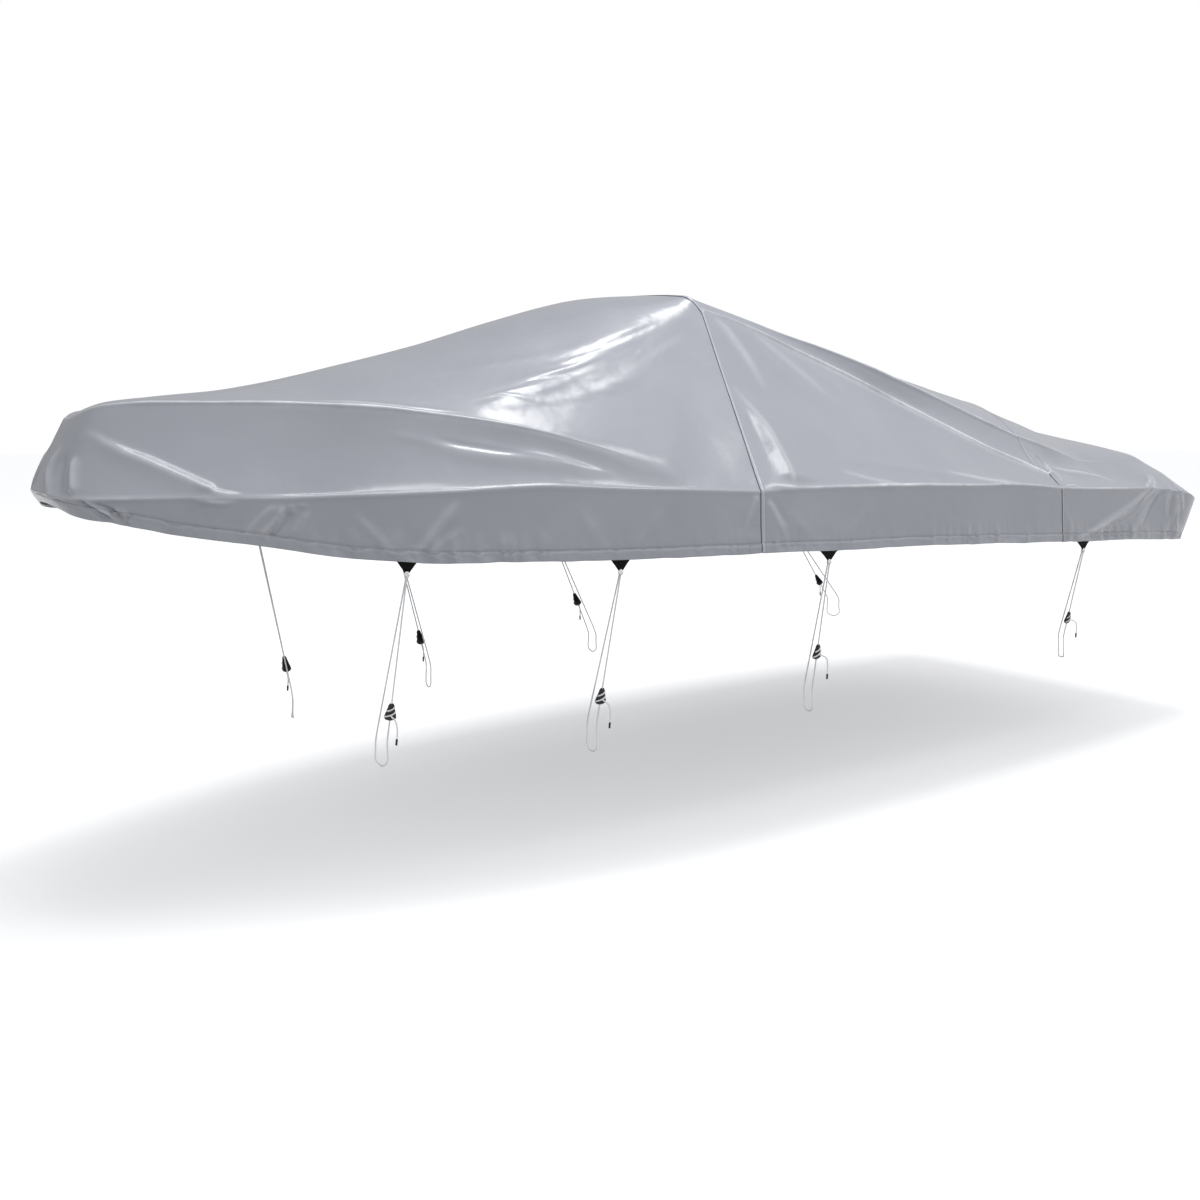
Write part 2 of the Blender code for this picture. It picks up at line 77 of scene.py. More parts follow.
REAR = [
    (2.34, 2.298,  2.42, 0.46, 2.272,  2.450, 0.505, 2.212,  2.298, 1.058, 1.427,  2.300, 1.062, 1.178, 3.0, 0.000, 0.0, 0.060, 0.060, 0.010),
    (2.50, 2.276,  2.56, 0.475, 2.228, 2.620, 0.520, 2.172,  2.560, 1.067, 1.434,  2.560, 1.071, 1.168, 3.0, 0.002, 0.2, 0.045, 0.030, 0.010),
    (2.83, 2.204,  2.88, 0.520, 2.138, 2.930, 0.555, 2.066,  2.860, 1.074, 1.430,  2.860, 1.078, 1.160, 3.0, 0.006, 0.5, 0.024, 0.018, 0.010),
    (3.22, 2.098,  3.26, 0.575, 2.039, 3.330, 0.605, 1.922,  3.240, 1.079, 1.424,  3.240, 1.083, 1.150, 3.0, 0.010, 0.8, 0.018, 0.015, 0.010),
    (3.60, 2.012,  3.62, 0.645, 1.920, 3.650, 0.680, 1.783,  3.610, 1.080, 1.411,  3.610, 1.084, 1.136, 3.1, 0.010, 1.0, 0.016, 0.014, 0.010),
    (3.98, 1.938,  3.98, 0.725, 1.780, 4.000, 0.840, 1.600,  3.980, 1.078, 1.403,  3.980, 1.082, 1.118, 3.2, 0.006, 1.0, 0.016, 0.014, 0.010),
    (4.40, 1.852,  4.40, 0.800, 1.629, 4.390, 0.985, 1.441,  4.380, 1.070, 1.371,  4.380, 1.074, 1.098, 3.3, 0.000, 0.9, 0.016, 0.014, 0.010),
]
STERN = [
    (4.40, 1.852,  4.40, 0.800, 1.629, 4.390, 0.985, 1.441,  4.380, 1.070, 1.371,  4.380, 1.074, 1.098, 3.3, 0.000, 0.9, 0.016, 0.014, 0.010),
    (4.70, 1.768,  4.70, 0.800, 1.560, 4.700, 0.850, 1.467,  4.700, 1.062, 1.357,  4.700, 1.066, 1.082, 3.3, 0.000, 0.8, 0.020, 0.016, 0.010),
    (5.00, 1.682,  5.05, 0.800, 1.484, 5.050, 0.935, 1.394,  5.050, 1.049, 1.345,  5.060, 1.052, 1.066, 3.2, 0.000, 0.5, 0.025, 0.018, 0.010),
    (5.15, 1.642,  5.38, 0.79, 1.494,  5.390, 0.935, 1.412,  5.350, 1.036, 1.335,  5.330, 1.036, 1.052, 3.0, 0.000, 0.3, 0.030, 0.020, 0.011),
    (5.24, 1.616,  5.57, 0.77, 1.504,  5.650, 0.900, 1.408,  5.680, 1.038, 1.296,  5.575, 1.032, 1.037, 2.6, 0.000, 0.1, 0.040, 0.022, 0.012),
    (5.29, 1.602,  5.62, 0.70, 1.510,  5.730, 0.810, 1.408,  5.845, 0.990, 1.254,  5.668, 1.000, 1.032, 2.4, 0.000, 0.0, 0.040, 0.024, 0.013),
    (5.31, 1.598,  5.64, 0.52, 1.519,  5.765, 0.590, 1.424,  5.885, 0.715, 1.262,  5.700, 0.775, 1.032, 2.2, 0.002, 0.0, 0.040, 0.024, 0.014),
    (5.32, 1.596,  5.65, 0.26, 1.528,  5.780, 0.290, 1.438,  5.885, 0.350, 1.272,  5.700, 0.380, 1.034, 2.0, 0.004, 0.0, 0.040, 0.024, 0.014),
    (5.32, 1.596,  5.65, 0.00, 1.532,  5.785, 0.000, 1.444,  5.890, 0.000, 1.276,  5.705, 0.000, 1.035, 2.0, 0.004, 0.0, 0.040, 0.024, 0.014),
]
TIE_COLUMNS = "name x w z rx rw rz bx bz lock tx tz wide".split()
TIES = [
    ("1", 0.868, 0.738, 1.166, 0.925, 0.470, 0.419, 0.905, 0.510, 0.670, 0.030, -0.085, 0.075),
    ("2", 1.653, 0.962, 1.142, 1.713, 0.720, 0.400, 1.708, 0.510, 0.645, 0.040, -0.090, 0.080),
    ("3", 2.670, 1.073, 1.113, 2.796, 0.850, 0.428, 2.806, 0.530, 0.550, 0.048, -0.090, 0.102),
    ("4", 4.568, 1.070, 1.046, 4.726, 0.850, 0.436, 4.770, 0.550, 0.575, 0.046, -0.080, 0.116),
]

# ------------------------------------------------------------------ creases
# Folds on the near side (-Y), each a line of (x, w, z) points on the cloth.
# high: how far it stands out (below 0 it is a valley), wide: its half width,
# a and b: shares of its length over which it fades in and out, keen: 0 for a
# soft round fold, 1 for a sharp one. far: how much of it the other side has.
CREASES = [
    # name, high, wide, a, b, keen, far, points
    ("bow_v50", .014, .020, .3, .4, .4, 1, [(-.123, .098, 1.632), (-.162, .075, 1.555), (-.180, .150, 1.470), (-.171, .182, 1.416)]),
    ("bow_v74", .015, .018, .3, .2, .4, 1, [(-.104, .195, 1.595), (-.118, .231, 1.525), (-.126, .271, 1.456)]),
    ("bow_v62", -.008, .020, .3, .2, .3, 1, [(-.125, .150, 1.610), (-.150, .165, 1.530), (-.158, .210, 1.450)]),
    ("bow_diag", .017, (.016, .050), .50, .05, .45, 1, [(-.074, .174, 1.684), (-.021, .270, 1.636), (.039, .329, 1.596), (.103, .373, 1.565), (.164, .416, 1.531), (.208, .449, 1.507), (.275, .502, 1.467)]),
    ("bow_diag_end", .009, (.010, .020), .3, .5, .5, 1, [(.208, .449, 1.507), (.245, .485, 1.480), (.300, .515, 1.462), (.362, .540, 1.462)]),
    ("bow_dart1", -.012, .010, .2, .2, .6, 1, [(-.120, .283, 1.447), (-.086, .317, 1.420), (-.048, .345, 1.390), (-.021, .363, 1.370)]),
    ("bow_dart1r", .011, .009, .2, .2, .5, 1, [(-.104, .300, 1.447), (-.066, .330, 1.422), (-.030, .354, 1.400), (-.005, .368, 1.375)]),
    ("bow_dart2", -.010, .008, .2, .1, .6, 1, [(-.090, .312, 1.437), (-.060, .336, 1.428), (-.020, .361, 1.410), (.004, .376, 1.372)]),
    ("dart3", .010, .008, .2, .2, .6, 1, [(-.027, .363, 1.414), (.012, .385, 1.407), (.024, .388, 1.359)]),
    ("gun_knot", .009, .012, .4, .4, .5, 1, [(.190, .470, 1.452), (.230, .490, 1.440), (.290, .515, 1.430), (.350, .535, 1.438)]),
    ("sk_main", .012, .010, .2, .2, .7, .6, [(.475, .595, 1.430), (.469, .592, 1.399), (.457, .587, 1.368), (.430, .575, 1.338), (.394, .559, 1.304)]),
    ("sk_b", .008, .010, .2, .2, .6, .6, [(.463, .590, 1.426), (.430, .576, 1.400), (.399, .563, 1.366), (.369, .549, 1.326), (.346, .538, 1.302)]),
    ("sk_val", -.010, .010, .2, .2, .7, .6, [(.500, .604, 1.410), (.486, .598, 1.370), (.462, .588, 1.335), (.430, .575, 1.305)]),
    ("sk_c", .006, .009, .2, .3, .7, .6, [(.497, .604, 1.426), (.503, .607, 1.405), (.512, .610, 1.384)]),
    ("sk_d", .005, .0075, .3, .3, .6, .6, [(.515, .612, 1.412), (.537, .621, 1.422), (.559, .629, 1.407)]),
    ("sk_e", .008, .009, .3, .3, .6, .6, [(.559, .629, 1.411), (.528, .616, 1.353), (.491, .601, 1.302)]),
    ("tab1_r", .010, .018, .05, .35, .5, .8, [(.890, .760, 1.228), (.951, .780, 1.307), (1.002, .797, 1.373), (1.054, .813, 1.440)]),
    ("tab1_rv", -.006, .016, .1, .3, .4, .8, [(.900, .760, 1.224), (.985, .790, 1.300), (1.050, .812, 1.365)]),
    ("tab1_r2", .006, .014, .1, .4, .4, .8, [(.924, .771, 1.223), (.995, .795, 1.288), (1.082, .822, 1.328)]),
    ("tab1_l", .006, .018, .1, .4, .4, .8, [(.829, .736, 1.237), (.780, .717, 1.294), (.732, .698, 1.348), (.691, .682, 1.401)]),
    ("tab1_v", -.003, .022, .1, .4, .2, .8, [(.862, .748, 1.247), (.859, .746, 1.327), (.855, .745, 1.405)]),
    ("tab2_l", .003, .026, .1, .4, .2, 1, [(1.609, .954, 1.215), (1.529, .936, 1.304), (1.471, .922, 1.399)]),
    ("tab2_r", .003, .026, .1, .4, .2, 1, [(1.699, .972, 1.211), (1.775, .985, 1.295), (1.854, .998, 1.388)]),
    ("tab3_l", .002, .026, .1, .4, .2, 1, [(2.614, 1.072, 1.188), (2.501, 1.067, 1.281), (2.418, 1.063, 1.367)]),
    ("tab3_r", .003, .026, .1, .4, .2, 1, [(2.720, 1.075, 1.181), (2.856, 1.076, 1.285), (2.984, 1.077, 1.388)]),
    ("tab4_l", .003, .022, .1, .4, .2, 1, [(4.495, 1.071, 1.110), (4.405, 1.071, 1.232), (4.371, 1.071, 1.335)]),
    ("tab4_r", .004, .024, .1, .4, .3, 1, [(4.638, 1.067, 1.106), (4.830, 1.060, 1.185), (5.097, 1.047, 1.279)]),
    # the front panel's slope, folds running down from the windscreen's corner
    ("pt_1", .0022, .014, .15, .4, .4, .7, [(2.216, .501, 2.162), (1.988, .512, 2.081), (1.778, .516, 2.014), (1.610, .508, 1.971), (1.438, .478, 1.939), (1.253, .443, 1.904), (1.100, .399, 1.882)]),
    ("pt_1v", -.0014, .018, .15, .4, .3, .7, [(2.230, .512, 2.155), (2.030, .525, 2.078), (1.820, .540, 2.006), (1.650, .550, 1.950), (1.480, .545, 1.915), (1.290, .530, 1.870)]),
    ("pt_2", .0026, .011, .15, .3, .6, .7, [(2.272, .516, 2.155), (2.075, .540, 2.075), (1.871, .564, 1.998), (1.701, .591, 1.934), (1.525, .601, 1.893), (1.331, .616, 1.838), (1.175, .619, 1.790)]),
    ("pt_3", .0024, .009, .2, .3, .6, .7, [(2.057, .563, 2.043), (1.874, .595, 1.963), (1.730, .619, 1.910), (1.594, .640, 1.866), (1.451, .643, 1.840), (1.275, .636, 1.806), (1.136, .614, 1.783)]),
    ("pt_4", .0024, .008, .3, .3, .6, .7, [(1.809, .614, 1.928), (1.676, .626, 1.892), (1.558, .658, 1.841), (1.396, .658, 1.815)]),
    ("pt_5", .0030, .018, .3, .3, .4, .7, [(2.339, .559, 2.111), (2.139, .597, 2.014), (1.937, .649, 1.913), (1.752, .692, 1.835), (1.552, .702, 1.797), (1.377, .689, 1.784)]),
    ("pt_6", .0028, .008, .3, .4, .6, .7, [(1.251, .602, 1.822), (1.350, .659, 1.807), (1.459, .703, 1.784), (1.583, .726, 1.777)]),
    ("pt_7", .0040, .018, .3, .3, .4, .7, [(2.056, .665, 1.916), (1.881, .688, 1.858), (1.700, .696, 1.823)]),
    ("pt_mid", .010, (.085, .075), .20, .25, .10, .8, [(1.175, 0.662, 1.758), (1.297, 0.676, 1.779), (1.455, 0.641, 1.838), (1.576, 0.599, 1.892), (1.737, 0.545, 1.968), (1.877, 0.525, 2.025), (2.049, 0.507, 2.096), (2.207, 0.480, 2.169)]),
    ("rail_2", .004, .012, .3, .3, .6, .8, [(.598, .439, 1.787), (.719, .514, 1.780), (.846, .580, 1.770), (1.020, .634, 1.756), (1.163, .680, 1.745)]),
    ("st_a", .011, (.020, .044), .3, .35, .35, .6, [(.958, .676, 1.632), (1.075, .724, 1.609), (1.189, .773, 1.586), (1.334, .826, 1.570), (1.498, .882, 1.542), (1.669, .937, 1.502)]),
    ("st_av", -.006, .020, .3, .35, .4, .6, [(1.000, .680, 1.650), (1.120, .728, 1.626), (1.230, .775, 1.604), (1.380, .830, 1.590)]),
    ("st_b", .007, .018, .3, .3, .4, .6, [(1.015, .683, 1.657), (1.133, .732, 1.630), (1.270, .789, 1.604), (1.411, .843, 1.577), (1.556, .898, 1.534)]),
    ("st_c", .003, .020, .4, .4, .3, .6, [(.828, .617, 1.668), (.960, .671, 1.642), (1.093, .729, 1.609)]),
    ("fl_a", .0175, (.110, .048), .50, .10, .10, .8, [(2.415, .748, 1.865), (2.462, .830, 1.755), (2.490, .890, 1.670), (2.492, .959, 1.578), (2.492, 1.011, 1.512), (2.478, 1.060, 1.445)]),
    ("fl_v", -.004, (.030, .050), .45, .10, .20, .8, [(2.400, .800, 1.790), (2.432, .884, 1.680), (2.405, .953, 1.588), (2.380, 1.015, 1.513), (2.362, 1.055, 1.458)]),
    ("fan_1", .008, (.045, .016), .25, .45, .30, .8, [(2.500, .530, 2.180), (2.544, .560, 2.140), (2.593, .642, 2.003), (2.620, .760, 1.836)]),
    ("fan_2", .005, (.050, .018), .25, .45, .30, .8, [(2.710, .555, 2.140), (2.800, .590, 2.050), (2.902, .640, 1.960), (3.065, .742, 1.805)]),
    ("fan_3", .004, (.050, .018), .25, .45, .30, .8, [(2.900, .575, 2.060), (3.050, .640, 1.930), (3.250, .740, 1.780)]),
    ("rd_1", .005, .034, .3, .4, .2, .8, [(2.619, .512, 2.181), (2.685, .587, 2.070), (2.763, .655, 1.965), (2.875, .734, 1.842)]),
    ("rd_2", .006, .024, .3, .3, .4, .8, [(2.796, 1.017, 1.499), (2.945, 1.055, 1.453), (3.148, 1.078, 1.415)]),
    ("rd_3", .004, .030, .4, .3, .2, .8, [(2.602, .968, 1.566), (2.899, .981, 1.539), (3.334, 1.012, 1.486), (3.792, 1.059, 1.423)]),
    ("tri_a", .014, .018, .2, .3, .6, .8, [(4.462, .851, 1.531), (4.447, .896, 1.495), (4.421, .953, 1.456), (4.405, 1.016, 1.413)]),
    ("tri_b", -.014, .020, .2, .3, .5, .8, [(4.490, .840, 1.530), (4.500, .890, 1.480), (4.480, .960, 1.430)]),
    ("puck4", .009, .010, .3, .3, .5, .8, [(4.418, 1.058, 1.378), (4.519, 1.050, 1.384), (4.560, 1.066, 1.360)]),
    ("sc_1", .011, .015, .2, .3, .6, .8, [(5.312, 1.008, 1.358), (5.153, 1.045, 1.288), (4.934, 1.055, 1.211), (4.678, 1.066, 1.140), (4.486, 1.071, 1.100)]),
    ("sc_1v", -.010, .014, .2, .3, .6, .8, [(5.340, 1.018, 1.345), (5.200, 1.045, 1.262), (5.020, 1.053, 1.190), (4.800, 1.062, 1.130)]),
    ("sc_2", .010, .013, .2, .2, .6, .8, [(5.388, 1.018, 1.344), (5.288, 1.039, 1.271), (5.151, 1.046, 1.178), (5.060, 1.051, 1.107)]),
    ("sc_2v", -.010, .012, .2, .2, .6, .8, [(5.440, 1.020, 1.330), (5.340, 1.037, 1.260), (5.230, 1.042, 1.160), (5.170, 1.045, 1.100)]),
    ("sc_3", .011, .013, .2, .2, .6, .8, [(5.500, .990, 1.352), (5.448, 1.032, 1.264), (5.427, 1.032, 1.153)]),
    ("sc_4", .009, .012, .2, .2, .6, .8, [(5.600, .980, 1.320), (5.580, 1.022, 1.240), (5.550, 1.026, 1.150), (5.560, 1.022, 1.095)]),
    ("sc_4v", -.009, .011, .2, .2, .6, .8, [(5.520, 1.010, 1.300), (5.510, 1.028, 1.230), (5.490, 1.030, 1.140)]),
    ("sc_5", .015, .013, .3, .3, .6, .8, [(5.432, .936, 1.408), (5.349, .994, 1.367), (5.197, 1.043, 1.330)]),
    ("sd_1", .010, .012, .2, .3, .6, .8, [(4.545, .850, 1.492), (4.520, .895, 1.470), (4.495, .950, 1.440), (4.456, 1.028, 1.394)]),
    ("sd_2", .013, (.045, .018), .2, .3, .5, .8, [(4.560, .862, 1.482), (4.641, .908, 1.441), (4.750, .922, 1.428), (4.850, .936, 1.414), (5.026, .975, 1.386)]),
    ("sd_3", .012, .014, .3, .4, .6, .8, [(5.470, .930, 1.404), (5.383, 1.001, 1.357), (5.262, 1.033, 1.299), (5.166, 1.040, 1.243)]),
    ("sd_4", .010, .014, .3, .3, .6, .8, [(5.635, .930, 1.385), (5.618, 1.000, 1.325), (5.609, 1.037, 1.270), (5.640, 1.033, 1.196)]),
    ("sd_5", .008, .012, .2, .3, .6, .8, [(5.570, 1.020, 1.300), (5.556, 1.035, 1.226), (5.513, 1.035, 1.148)]),
    ("gw_1", .007, (.040, .014), .35, .35, .5, .8, [(3.523, 1.006, 1.478), (3.619, 1.022, 1.458), (3.750, 1.045, 1.432), (3.867, 1.062, 1.416), (4.038, 1.070, 1.411)]),
    ("sp_a", .006, .012, .3, .3, .6, .8, [(2.311, 1.052, 1.436), (2.362, 1.052, 1.450), (2.426, 1.056, 1.440), (2.503, 1.065, 1.432)]),
    ("sp_b", .005, .016, .1, .5, .4, .8, [(2.326, 1.060, 1.391), (2.368, 1.062, 1.329), (2.411, 1.065, 1.257), (2.443, 1.067, 1.202)]),
    ("sp_c", .004, .018, .1, .5, .3, .8, [(2.274, 1.055, 1.413), (2.234, 1.052, 1.334), (2.204, 1.049, 1.256)]),
    ("sp_d", -.004, .014, .1, .5, .4, .8, [(2.345, 1.060, 1.400), (2.395, 1.064, 1.330), (2.450, 1.067, 1.262)]),
    ("fl_hump", .004, (.050, .013), .35, .35, .3, .8, [(2.325, 1.050, 1.442), (2.390, 1.056, 1.444), (2.470, 1.062, 1.442), (2.570, 1.067, 1.438)]),
    ("gun_swell", .0045, (.030, .009), .35, .35, .4, .8, [(.560, .628, 1.452), (.760, .708, 1.456), (.950, .775, 1.460), (1.120, .832, 1.464)]),
    ("gun_swell2", .0014, (.040, .009), .35, .35, .3, .8, [(1.020, .800, 1.463), (1.260, .868, 1.470), (1.500, .925, 1.466)]),
]


# A fan of thin drag lines on the front slope, between two of the folds above.
_fold = {c[0]: np.stack([np.interp(np.linspace(0, len(c[7]) - 1, 7), np.arange(len(c[7])), np.array(c[7])[:, i]) for i in range(3)], 1) for c in CREASES}
for _k, (_t, _high, _wide) in enumerate(((-.22, .0012, .007), (-.10, .0014, .007), (.00, -.0010, .006), (.08, .0017, .007), (.15, .0012, .006), (.20, -.0015, .008), (.26, .0012, .005), (.31, .0019, .006), (.38, -.0012, .006), (.47, .0017, .007), (.53, .0011, .005), (.60, -.0015, .008), (.68, .0018, .006), (.74, -.0011, .006), (.80, .0014, .008), (.86, .0012, .006), (.92, -.0014, .009), (1.00, .0012, .006), (1.08, .0016, .009))):
    _line = _fold["pt_1"] * (1 - _t) + _fold["pt_5"] * _t
    _even = np.linspace(0, 1, len(_line))
    _line = np.stack([np.polyval(np.polyfit(_even, _line[:, _i], 2), _even) for _i in range(3)], 1)
    _cut = (2, 1, 0, 1, 0, 2, 1, 0, 3, 0, 2, 1, 0, 2, 1, 3, 0, 2, 1)[_k]
    CREASES.append((f"drag_{_k}", _high, _wide, .3, .35, .6, .7, [tuple(p) for p in _line[_cut : 7 - (_k % 3 == 1)]]))

# ---------------------------------------------------------------- geometry
def interpolated(table, steps):
    rows = np.array(table, dtype=float)
    n = len(rows)
    slope = np.zeros_like(rows)
    for k in range(n):
        if k == 0:
            slope[k] = rows[1] - rows[0]
        elif k == n - 1:
            slope[k] = rows[-1] - rows[-2]
        else:
            a, b = rows[k] - rows[k - 1], rows[k + 1] - rows[k]
            same = a * b > 0
            slope[k] = np.where(same, 2 * a * b / np.where(same, a + b, 1.0), 0.0)
    out = []
    for k in range(n - 1):
        for i in range(steps[k]):
            t = i / steps[k]
            h00, h10 = 2 * t**3 - 3 * t**2 + 1, t**3 - 2 * t**2 + t
            h01, h11 = -2 * t**3 + 3 * t**2, t**3 - t**2
            out.append(h00 * rows[k] + h10 * slope[k] + h01 * rows[k + 1] + h11 * slope[k + 1])
    out.append(rows[-1])
    return np.array(out)


WIDTHS = [COLUMNS.index(c) for c in ("rw", "mw", "gw", "hw")]


def eased(st, pitch, sigma, closed_start, closed_end):
    """Stations smoothed along the boat, so that no rib shows as a kink."""
    pad = int(math.ceil(3 * sigma / pitch))
    pad = min(pad, len(st) - 2)

    def end(rows, closed):
        flip = rows.copy()
        if closed:
            flip[:, WIDTHS] *= -1.0
        return flip

    head = st[1 : pad + 1][::-1]
    head = end(head, True) if closed_start else 2 * st[0] - head
    tail = st[-pad - 1 : -1][::-1]
    tail = end(tail, True) if closed_end else 2 * st[-1] - tail
    full = np.vstack((head, st, tail))
    k = np.arange(-pad, pad + 1) * pitch
    w = np.exp(-0.5 * (k / sigma) ** 2)
    w /= w.sum()
    out = np.empty_like(st)
    for i in range(len(st)):
        out[i] = (full[i : i + 2 * pad + 1] * w[:, None]).sum(axis=0)
    return out


def spread(n, hard):
    """0..1 in n steps, closer together at both ends. hard 0 is even."""
    f = np.linspace(0.0, 1.0, n + 1)
    if hard <= 0:
        return f
    return 0.5 * (1.0 + np.tanh(hard * (2 * f - 1)) / math.tanh(hard))


def ribs(st, counts, returns):
    """Grid of points (rows, columns, 3) on one side, centre line to hem, and
    each column's distance down the cloth from the four ridges."""
    s = {c: st[:, i] for i, c in enumerate(COLUMNS)}
    zero = np.zeros(len(st))
    c = np.stack((s["cx"], zero, s["cz"]), 1)
    r = np.stack((s["rx"], s["rw"], s["rz"]), 1)
    m = np.stack((s["mx"], s["mw"], s["mz"]), 1)
    g = np.stack((s["gx"], s["gw"], s["gz"]), 1)
    h = np.stack((s["hx"], s["hw"], s["hz"]), 1)
    mid = (r + m) / 2
    full = np.stack((mid[:, 0], r[:, 1] * 0.65 + m[:, 1] * 0.35, r[:, 2] * 0.15 + m[:, 2] * 0.85), 1)
    knee = mid + s["dip"][:, None] * (full - mid)
    parts, leg_of = [c[:, None, :]], [0]
    marks = []
    for leg, n in zip(range(4), counts):
        if leg == 0:
            f = 1.0 - (1.0 - np.linspace(0, 1, n + 1)[1:]) ** 1.35
            p = c[:, None, :] + (r - c)[:, None, :] * f[None, :, None]
            p[:, :, 2] = r[:, None, 2] + (c[:, 2] - r[:, 2])[:, None] * (1.0 - f[None, :] ** s["crown"][:, None])
        elif leg == 1:
            f = spread(n, 1.3)[1:][None, :, None]
            p = (1 - f) ** 2 * r[:, None, :] + 2 * f * (1 - f) * knee[:, None, :] + f**2 * m[:, None, :]
        elif leg == 2:
            f = spread(n, 1.75)[1:]
            p = m[:, None, :] + (g - m)[:, None, :] * f[None, :, None]
            sag = s["sag"][:, None] * 4 * f * (1 - f)
            p[:, :, 2] -= sag * 0.6
            p[:, :, 1] -= sag * np.clip(s["mw"] / 0.3, 0, 1)[:, None]
        else:
            # a third of the columns lie over the hem band
            band = np.clip(1.5 * HEM / np.maximum(np.linalg.norm(h - g, axis=1), 1e-3), 0.1, 0.6)[:, None]
            n_low = int(round(n * 0.42))
            top = spread(n - n_low, 0.7)[1:][None, :] * (1 - band)
            f = np.concatenate((top, (1 - band) + band * np.linspace(0, 1, n_low + 1)[1:][None, :]), axis=1)
            p = g[:, None, :] + (h - g)[:, None, :] * f[:, :, None]
        parts.append(p)
        marks.append(sum(q.shape[1] for q in parts) - 1)
    grid = np.concatenate(parts, axis=1)
    step = np.linalg.norm(np.diff(grid, axis=1), axis=2)
    run = np.concatenate((np.zeros((len(st), 1)), np.cumsum(step, axis=1)), axis=1)
    # round the three ridges over
    for mark, radius in ((marks[0], s["rr"]), (marks[1], s["mr"]), (marks[2], s["gr"])):
        before = grid[:, mark, :] - grid[:, mark - 2, :]
        after = grid[:, mark + 2, :] - grid[:, mark, :]
        ln = np.linalg.norm(before, axis=1)[:, None]
        before = before / np.where(ln > 1e-9, ln, 1.0)
        ln = np.linalg.norm(after, axis=1)[:, None]
        after = after / np.where(ln > 1e-9, ln, 1.0)
        d = run - run[:, mark][:, None]
        left = run[:, mark] - (run[:, marks[0]] if mark == marks[1] else run[:, marks[1]] if mark == marks[2] else 0)
        right = (run[:, marks[1]] if mark == marks[0] else run[:, marks[2]] if mark == marks[1] else run[:, -1]) - run[:, mark]
        q = np.minimum(radius, 0.46 * np.minimum(left, right))[:, None]
        q = np.maximum(q, 1e-4)
        inside = np.abs(d) < q
        lift = np.where(inside, (d + q) ** 2 / (4 * q) - np.maximum(d, 0.0), 0.0)
        grid = grid + (after - before)[:, None, :] * lift[:, :, None]
    return grid, run, marks


def normals(grid):
    along = np.gradient(grid, axis=0)
    across = np.gradient(grid, axis=1)
    n = np.cross(along, across)
    ln = np.linalg.norm(n, axis=2, keepdims=True)
    return n / np.where(ln > 1e-12, ln, 1.0)


def noise1(x, seed):
    """Smooth one-dimensional noise, about -1..1, the same every run."""
    i = np.floor(x).astype(int)
    f = x - i
    f = f * f * (3 - 2 * f)

    def at(k):
        v = np.sin((k + seed * 57.13) * 12.9898) * 43758.5453
        return 2 * (v - np.floor(v)) - 1

    return at(i) * (1 - f) + at(i + 1) * f


def noise2(x, y, seed):
    ix, iy = np.floor(x).astype(int), np.floor(y).astype(int)
    fx, fy = x - ix, y - iy
    fx = fx * fx * fx * (fx * (fx * 6 - 15) + 10)
    fy = fy * fy * fy * (fy * (fy * 6 - 15) + 10)

    def at(a, b):
        v = np.sin(a * 127.1 + b * 311.7 + seed * 74.7) * 43758.5453
        return 2 * (v - np.floor(v)) - 1

    top = at(ix, iy) * (1 - fx) + at(ix + 1, iy) * fx
    low = at(ix, iy + 1) * (1 - fx) + at(ix + 1, iy + 1) * fx
    return top * (1 - fy) + low * fy


# The folds whose ridges also get a painted highlight, a pale line mixed into the cloth's colour: how pale, half
# width.
FOLD_HIGHLIGHT_PAINT = {
    "bow_v50": (.18, .016), "bow_v74": (.26, .014), "bow_diag": (.35, .012), "bow_diag_end": (.50, .008),
    "bow_dart1r": (.25, .008), "gun_knot": (.12, .010), "sk_main": (.12, .016), "sk_b": (.08, .014), "sk_e": (.08, .014),
    "tab1_r": (.13, .014), "tab1_l": (.08, .014), "st_a": (.14, .020), "fan_1": (.20, .024), "fan_2": (.16, .022), "rail_2": (.25, .008),
    "pt_1": (.10, .014), "pt_2": (.12, .014), "pt_3": (.10, .014), "pt_5": (.12, .014), "pt_6": (.10, .013),
    "fl_a": (.30, .012), "rd_2": (.20, .012), "tri_a": (.22, .008), "puck4": (.45, .008), "sc_1": (.26, .010),
    "sc_2": (.22, .009), "sc_3": (.30, .009), "sc_4": (.20, .009), "sc_5": (.50, .010), "sp_a": (.60, .008),
    "sp_b": (.20, .011), "sp_c": (.10, .011), "sd_1": (.55, .007), "sd_2": (.42, .013), "sd_3": (.48, .010),
    "sd_4": (.50, .011), "sd_5": (.20, .009), "gw_1": (.40, .011),
}


